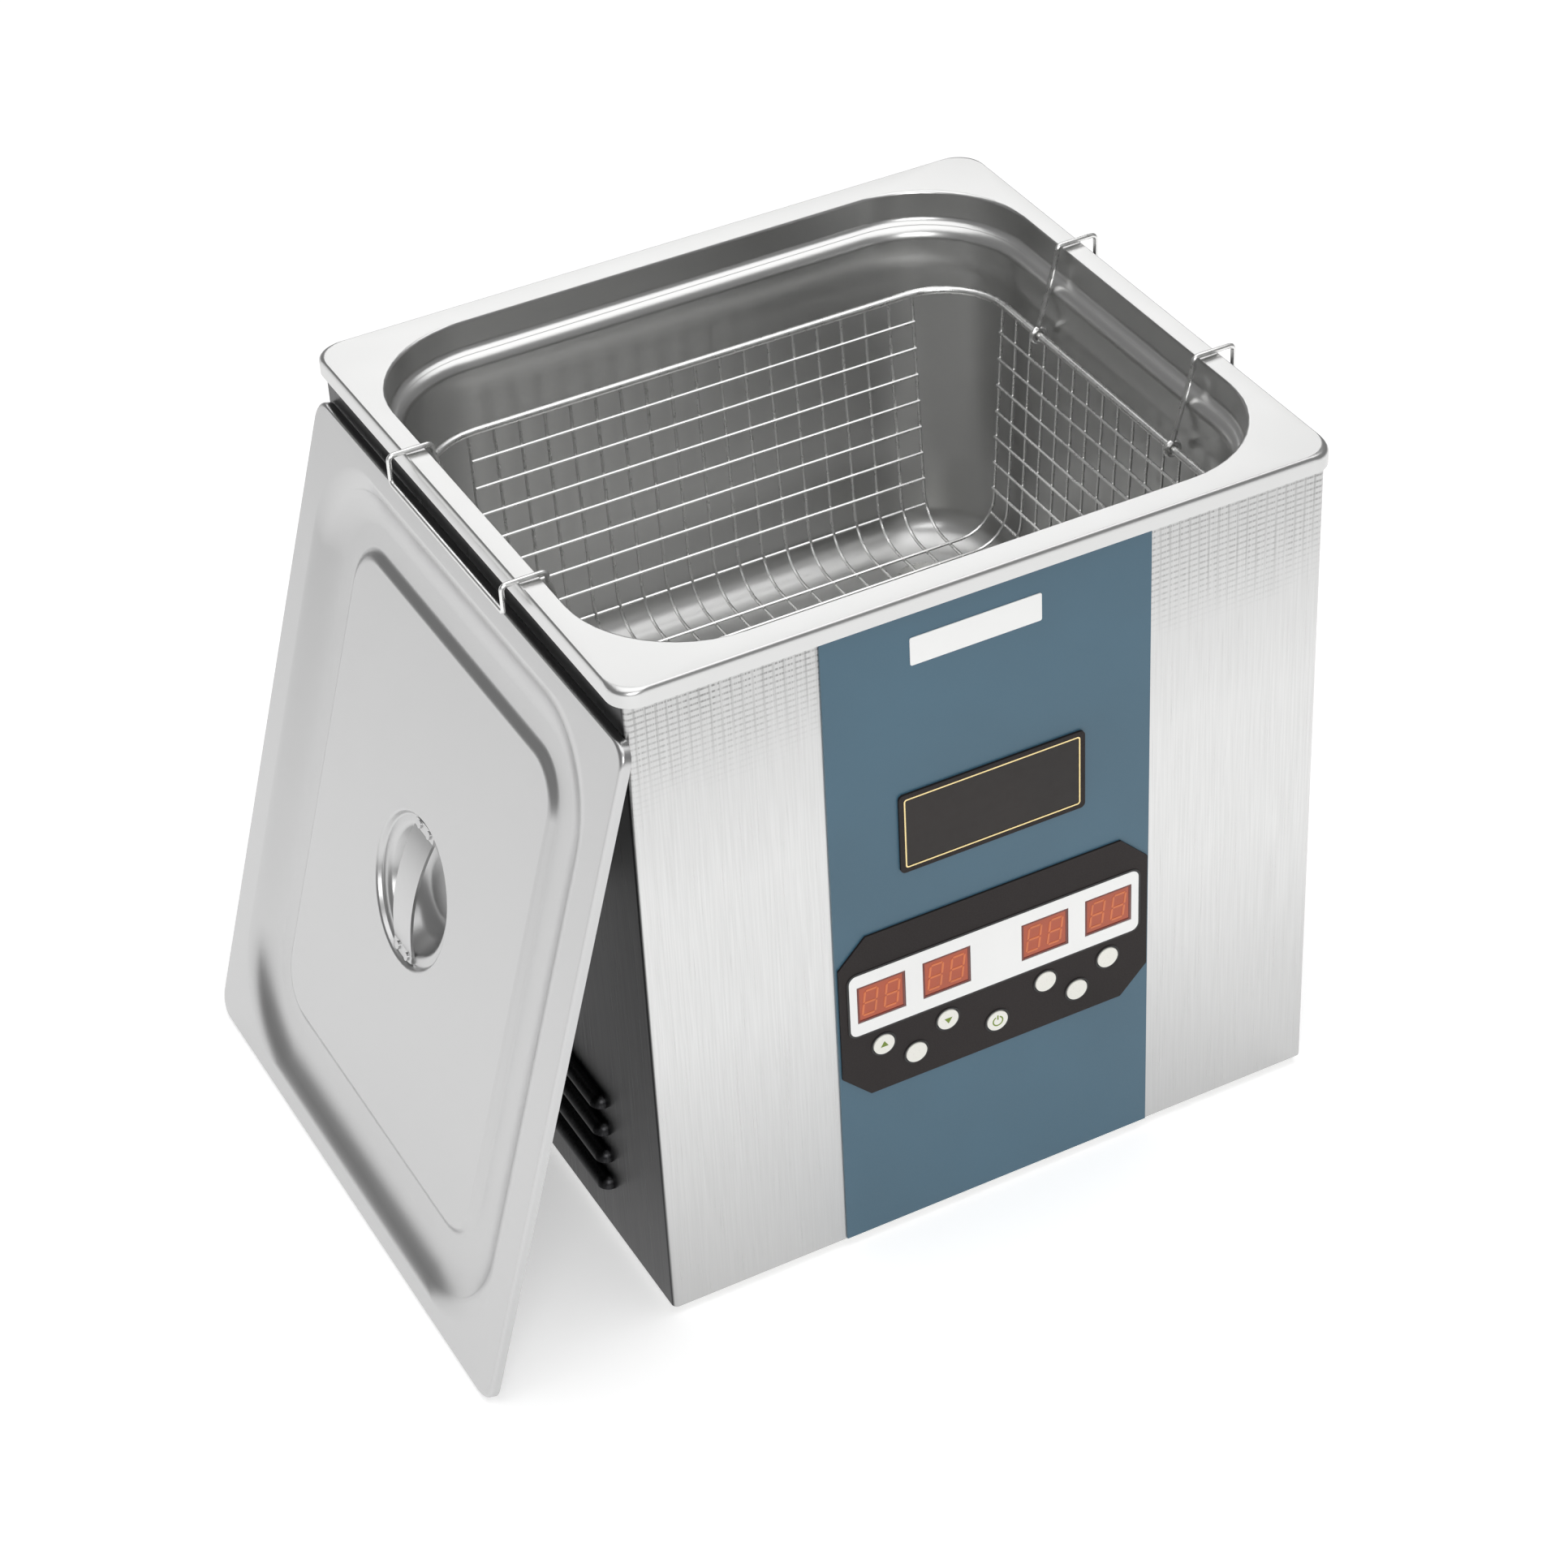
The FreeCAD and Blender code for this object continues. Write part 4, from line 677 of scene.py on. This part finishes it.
def hanger(side):
    """One bent wire hooked over the rim, with an eye round the basket's rim wire at each end."""
    node = "bail_left" if side < 0 else "bail_right"
    r = 0.00125
    y0, y1 = low(node, Y) + r, high(node, Y) - r
    outer = high(node, X) - r if side > 0 else low(node, X) + r
    x_eye = body_x + side * basket_half_w
    leg_gap = 3.25
    x_leg = body_x + side * (half_rim_w - side_flat - leg_gap) * MM
    z_over = high(node, Z) - r
    z_bar = z_top - 0.0125
    eye_r = 0.0036
    z_eye = z_rim_wire + eye_r
    z_leg = z_top - 0.003
    side_view = [(x_eye, z_eye), (x_leg, z_leg), (x_leg, z_over), (outer, z_over), (outer, z_bar)]
    points = [(x, y0, z) for x, z in side_view] + [(x, y1, z) for x, z in reversed(side_view)]
    parts = [wire(node + "_wire", points, r, 0.0025, 10, 5)]
    for y in (y0, y1):
        deselect()
        bpy.ops.mesh.primitive_torus_add(major_radius=eye_r, minor_radius=r, major_segments=20,
                                         minor_segments=10, location=(x_eye, y, z_rim_wire),
                                         rotation=(math.radians(90), 0, 0))
        parts.append(start(node + "_eye"))
    finish(join(node + "_hanger", parts), node, "wire_steel", steel_wire, (node,), weighted=False)


# ---------------------------------------------------------------- lid
lid_length, lid_width = 350.0, 2 * half_rim_d + 1.6
lean = math.radians(15.9)
lean_s, lean_c = math.sin(lean), math.cos(lean)
lip_h, recess_depth, panel_depth, dish_depth = 5, 8, 5, 24


def lean_lid(piece):
    """From the lid's own frame, its foot at the origin and its face up, to where it leans on the housing."""
    foot = Vector((high("lid_shell", X) - (lid_length * lean_s + lip_h * lean_c) * MM,
                   middle("lid_shell", Y), low("lid_shell", Z) + lip_h * lean_s * MM))
    turn = Matrix(((0, lean_s, -lean_c), (-1, 0, 0), (0, lean_c, lean_s))).to_4x4()
    only(piece)
    piece.matrix_world = Matrix.Translation(foot) @ turn
    bpy.ops.object.transform_apply(location=True, rotation=True, scale=True)
    return piece


def pressed_lid():
    """Rolled edge, sloping recess, raised panel, and the dish under the handle, pressed as one skin."""
    mid = lid_length / 2
    recess_w, recess_l = 2 * half_rim_d - 41, 2 * half_rim_w - 32
    foot_w, foot_l = recess_w - 24, recess_l - 24
    panel_w, panel_l = foot_w - 40, foot_l - 40

    def ring(width, depth, r, z):
        return (width * MM, depth * MM, r * MM, z * MM, 0, mid * MM)

    def round_ring(r, z):
        return ("ring", r * MM, z * MM, 0, mid * MM)
    folds = ((10, 0.007, 5), (9, 0.0022, 4), (8, 0.0008, 3), (7, 0.001, 3), (6, 0.0016, 4),
             (5, 0.0016, 4), (4, 0.009, 6), (3, 0.006, 6), (2, 0.0022, 5))
    skin = stack("pressed_lid", [
        ring(lid_width, lid_length, 9, -lip_h),
        ring(lid_width, lid_length, 9, 0),
        ring(recess_w, recess_l, 55, 0),
        ring(foot_w, foot_l, 43, -recess_depth),
        ring(panel_w, panel_l, 26, -recess_depth),
        ring(panel_w - 8, panel_l - 8, 22, -panel_depth),
        round_ring(38, -panel_depth),
        round_ring(36.5, -recess_depth),
        round_ring(31, -recess_depth),
        round_ring(22, -dish_depth),
    ], steps=12, folds=folds)
    apply_modifier(skin, "SOLIDIFY", thickness=0.001, offset=-1)
    lean_lid(skin)
    return finish(skin, "lid", "lid_steel", steel_lid, ("lid_shell",), smooth=30)


# ---------------------------------------------------------------- displays, keys and lines on the front
def flat_frame(name, w, h, r, line, x, z, y, thickness, material, slot):
    """A thin line round a rounded rectangle on the front, its inner edge w by h."""
    deselect()
    bpy.ops.mesh.primitive_plane_add(size=1, location=(x, z, 0))
    piece = start(name)
    edit(piece)
    bpy.ops.mesh.select_all(action="SELECT")
    bpy.ops.transform.resize(value=(w + 2 * line, h + 2 * line, 1), center_override=(x, z, 0))
    bpy.ops.mesh.bevel(offset=r + line, segments=6, affect="VERTICES", profile=0.5)
    bpy.ops.mesh.inset(thickness=line, depth=0)
    bpy.ops.mesh.delete(type="FACE")
    thicken(thickness)
    stand_up(piece, y)
    return finish(piece, "housing", slot, material, weighted=False)


def key_ring(name, x, z, y, r, line, thickness):
    """A thin line round a key, its inner edge at r."""
    deselect()
    bpy.ops.mesh.primitive_circle_add(vertices=40, radius=r + line, fill_type="NGON", location=(x, z, 0))
    piece = start(name)
    edit(piece)
    bpy.ops.mesh.select_all(action="SELECT")
    bpy.ops.mesh.inset(thickness=line, depth=0)
    bpy.ops.mesh.delete(type="FACE")
    thicken(thickness)
    return stand_up(piece, y)


# each display's place from the middle of the front, in millimetres
DISPLAYS = (-60.5, -26.2, 26.2, 60.5)


# the seven bars of a digit: place across and up in half digits, and whether the bar is upright
DIGIT_BARS = ((0, 1, False), (0, 0, False), (0, -1, False), (-1, 0.5, True), (1, 0.5, True),
              (-1, -0.5, True), (1, -0.5, True))
digit_w, digit_h, bar, gap = 0.0066, 0.0138, 0.0011, 0.0003
slant = math.tan(math.radians(7))
SHEAR = Matrix(((1, slant, 0, 0), (0, 1, 0, 0), (0, 0, 1, 0), (0, 0, 0, 1)))
filter_depth = 0.0003


def digit_bar(centre, upright):
    """One bar of a digit, slanted with it and stood up at its centre."""
    length = (digit_h / 2 if upright else digit_w) - bar - 2 * gap
    deselect()
    bpy.ops.mesh.primitive_plane_add(size=1, location=(0, 0, 0))
    segment = start("segment")
    edit(segment)
    bpy.ops.mesh.select_all(action="SELECT")
    bpy.ops.transform.resize(value=(length + bar, bar, 1), center_override=(0, 0, 0))
    bpy.ops.mesh.bevel(offset=bar * 0.46, segments=1, affect="VERTICES")
    thicken(0.00012)
    turn = Matrix.Rotation(math.radians(90) if upright else 0, 4, "Z")
    segment.data.transform(Matrix.Translation(centre) @ UPRIGHT @ SHEAR @ turn)
    return segment


def display(number, x):
    """One two-digit display: a dark rim, a filter set back in it and two slanted digits in front."""
    z = middle("led_displays", Z)
    front, back = low("led_displays", Y), high("led_displays", Y)
    cx = body_x + x * MM
    w, h = 0.025, 0.021
    case = slab("display_case_%d" % number, (cx - w / 2, front, z - h / 2),
                (cx + w / 2, back, z + h / 2), 0.00025, 2)
    edit(case)
    pick("faces", lambda f: f.normal.y < -0.99 and f.calc_area() > 1e-4)
    bpy.ops.mesh.inset(thickness=0.0007, depth=0)
    bpy.ops.mesh.inset(thickness=0.0003, depth=-filter_depth)
    case.data.materials.append(display_edge)
    case.data.materials.append(display_face)
    case.active_material_index = 1
    bpy.ops.object.material_slot_assign()
    leave()
    lit = []
    for offset in (-0.0057, 0.0057):
        for across, up, upright in DIGIT_BARS:
            bar_x = cx + offset + across * digit_w / 2
            bar_z = z + up * digit_h / 2
            centre = Vector((bar_x + slant * (bar_z - z), front + filter_depth, bar_z))
            lit.append(digit_bar(centre, upright))
    digits = join("display_digits_%d" % number, lit)
    finish(digits, "housing", "led_red", segment_lit, weighted=False, smooth=0)
    return case


def displays():
    cases = [display(i + 1, x) for i, x in enumerate(DISPLAYS)]
    finish(join("display_cases", cases), "housing", "led_red", None, ("led_displays",), smooth=30,
           weighted=False)


print_depth = 0.00006
print_sink = 0.00002


def print_on_key(piece, node):
    """Stands a flat print up on the middle of a key's face."""
    only(piece)
    place = Matrix.Translation((middle(node, X), low(node, Y) + print_sink, middle(node, Z)))
    piece.matrix_world = place @ UPRIGHT
    finish(piece, node, "key_white", olive_print, weighted=False, smooth=0)


def arrow(node, way):
    """A small solid arrowhead printed on a key; way is 1 for up and -1 for down."""
    deselect()
    bpy.ops.mesh.primitive_circle_add(vertices=3, radius=0.0024, fill_type="NGON", location=(0, 0, 0))
    piece = start(node + "_arrow")
    edit(piece)
    bpy.ops.mesh.select_all(action="SELECT")
    bpy.ops.transform.resize(value=(1.0, 0.9 * way, 1), center_override=(0, 0, 0))
    thicken(print_depth)
    print_on_key(piece, node)


def power_sign(node):
    """An open circle with a short bar, printed on a key."""
    deselect()
    bpy.ops.mesh.primitive_circle_add(vertices=32, radius=0.0029, fill_type="NGON", location=(0, 0, 0))
    piece = start(node + "_sign")
    edit(piece)
    bpy.ops.mesh.select_all(action="SELECT")
    bpy.ops.mesh.inset(thickness=0.0007, depth=0)
    bpy.ops.mesh.delete(type="FACE")
    pick("faces", lambda f: f.calc_center_median().y > 0 and abs(f.calc_center_median().x) < 0.0009)
    bpy.ops.mesh.delete(type="FACE")
    bpy.ops.mesh.primitive_plane_add(size=1, location=(0, 0.0021, 0))
    bpy.ops.transform.resize(value=(0.0007, 0.0026, 1), center_override=(0, 0.0021, 0))
    thicken(print_depth)
    print_on_key(piece, node)


def front_lines():
    """The line round the display strip, the rings round the keys and the signs on three of them."""
    w = high("display_strip", X) - low("display_strip", X)
    h = high("display_strip", Z) - low("display_strip", Z)
    flat_frame("strip_line", w, h, 0.004, 0.0011, body_x, middle("display_strip", Z), y_overlay, 0.0003,
               black_line, "dark_overlay")
    rings = [key_ring("key_line", middle(key, X), middle(key, Z), y_overlay, 0.0058, 0.0007, 0.00035)
             for key in KEYS]
    finish(join("key_lines", rings), "housing", "dark_overlay", black_line, weighted=False)
    arrow("button_up", 1)
    arrow("button_down", -1)
    power_sign("button_power")


pressed_tank()
basket_wires()
hanger(-1)
hanger(1)
pressed_lid()
displays()
front_lines()
deselect()


# ---------------------------------------------------------------- floor, light and camera
def studio():
    """A wide pale floor and an even grey-white sky."""
    bpy.ops.mesh.primitive_plane_add(size=1, location=(0, 0, 0))
    floor = start("floor")
    floor.scale = (16, 16, 1)
    bpy.ops.object.transform_apply(location=True, rotation=True, scale=True)
    pale = Finish("pale_floor", (0.93, 0.93, 0.93), roughness=0.7)
    pale.set("Emission Color", (1, 1, 1, 1))
    pale.set("Emission Strength", 0.4)
    floor.data.materials.append(pale.material)
    world = bpy.data.worlds.new("studio")
    world.use_nodes = True
    sky = world.node_tree.nodes["Background"]
    sky.inputs["Color"].default_value = (1, 1, 1, 1)
    sky.inputs["Strength"].default_value = 0.25
    bpy.context.scene.world = world
    bpy.context.scene.view_settings.view_transform = "Standard"


def softbox(name, place, target, size, power):
    """A rectangular lamp turned towards its target; size in metres, power in watts."""
    bpy.ops.object.light_add(type="AREA", location=place)
    lamp = bpy.context.object
    lamp.name = name
    lamp.data.shape = "RECTANGLE"
    lamp.data.size, lamp.data.size_y = size
    lamp.data.energy = power
    lamp.rotation_euler = (Vector(target) - Vector(place)).to_track_quat("-Z", "Y").to_euler()


def camera():
    """Seen from the front left and above; the roll is the slight lean of the upright edges."""
    azimuth, elevation, roll = math.radians(-26.076), math.radians(37.209), math.radians(-3.269)
    aim = Vector((body_x - 0.02657, body_y - 0.00466, high("tank", Z) - 0.20889))
    distance = 1.94964
    back = Vector((math.sin(azimuth) * math.cos(elevation), -math.cos(azimuth) * math.cos(elevation),
                   math.sin(elevation)))
    right = Vector((math.cos(azimuth), math.sin(azimuth), 0))
    up = back.cross(right)
    right, up = (right * math.cos(roll) + up * math.sin(roll), up * math.cos(roll) - right * math.sin(roll))
    bpy.ops.object.camera_add(location=aim + back * distance)
    eye = bpy.context.object
    eye.rotation_euler = Matrix((right, up, back)).transposed().to_euler()
    eye.data.sensor_width = 36
    eye.data.lens = 92.165
    eye.data.clip_end = 50
    bpy.context.scene.camera = eye


studio()
softbox("overhead_light", (0.3, -0.2, 2.6), (0.2, -0.1, 0), (3.2, 3.2), 46)
softbox("front_light", (-1.2, -2.6, 1.7), (0, 0, 0.15), (1.6, 1.2), 30)
softbox("rear_light", (1.1, 2.3, 2.0), (0, 0, 0.3), (1.8, 1.0), 9)
camera()
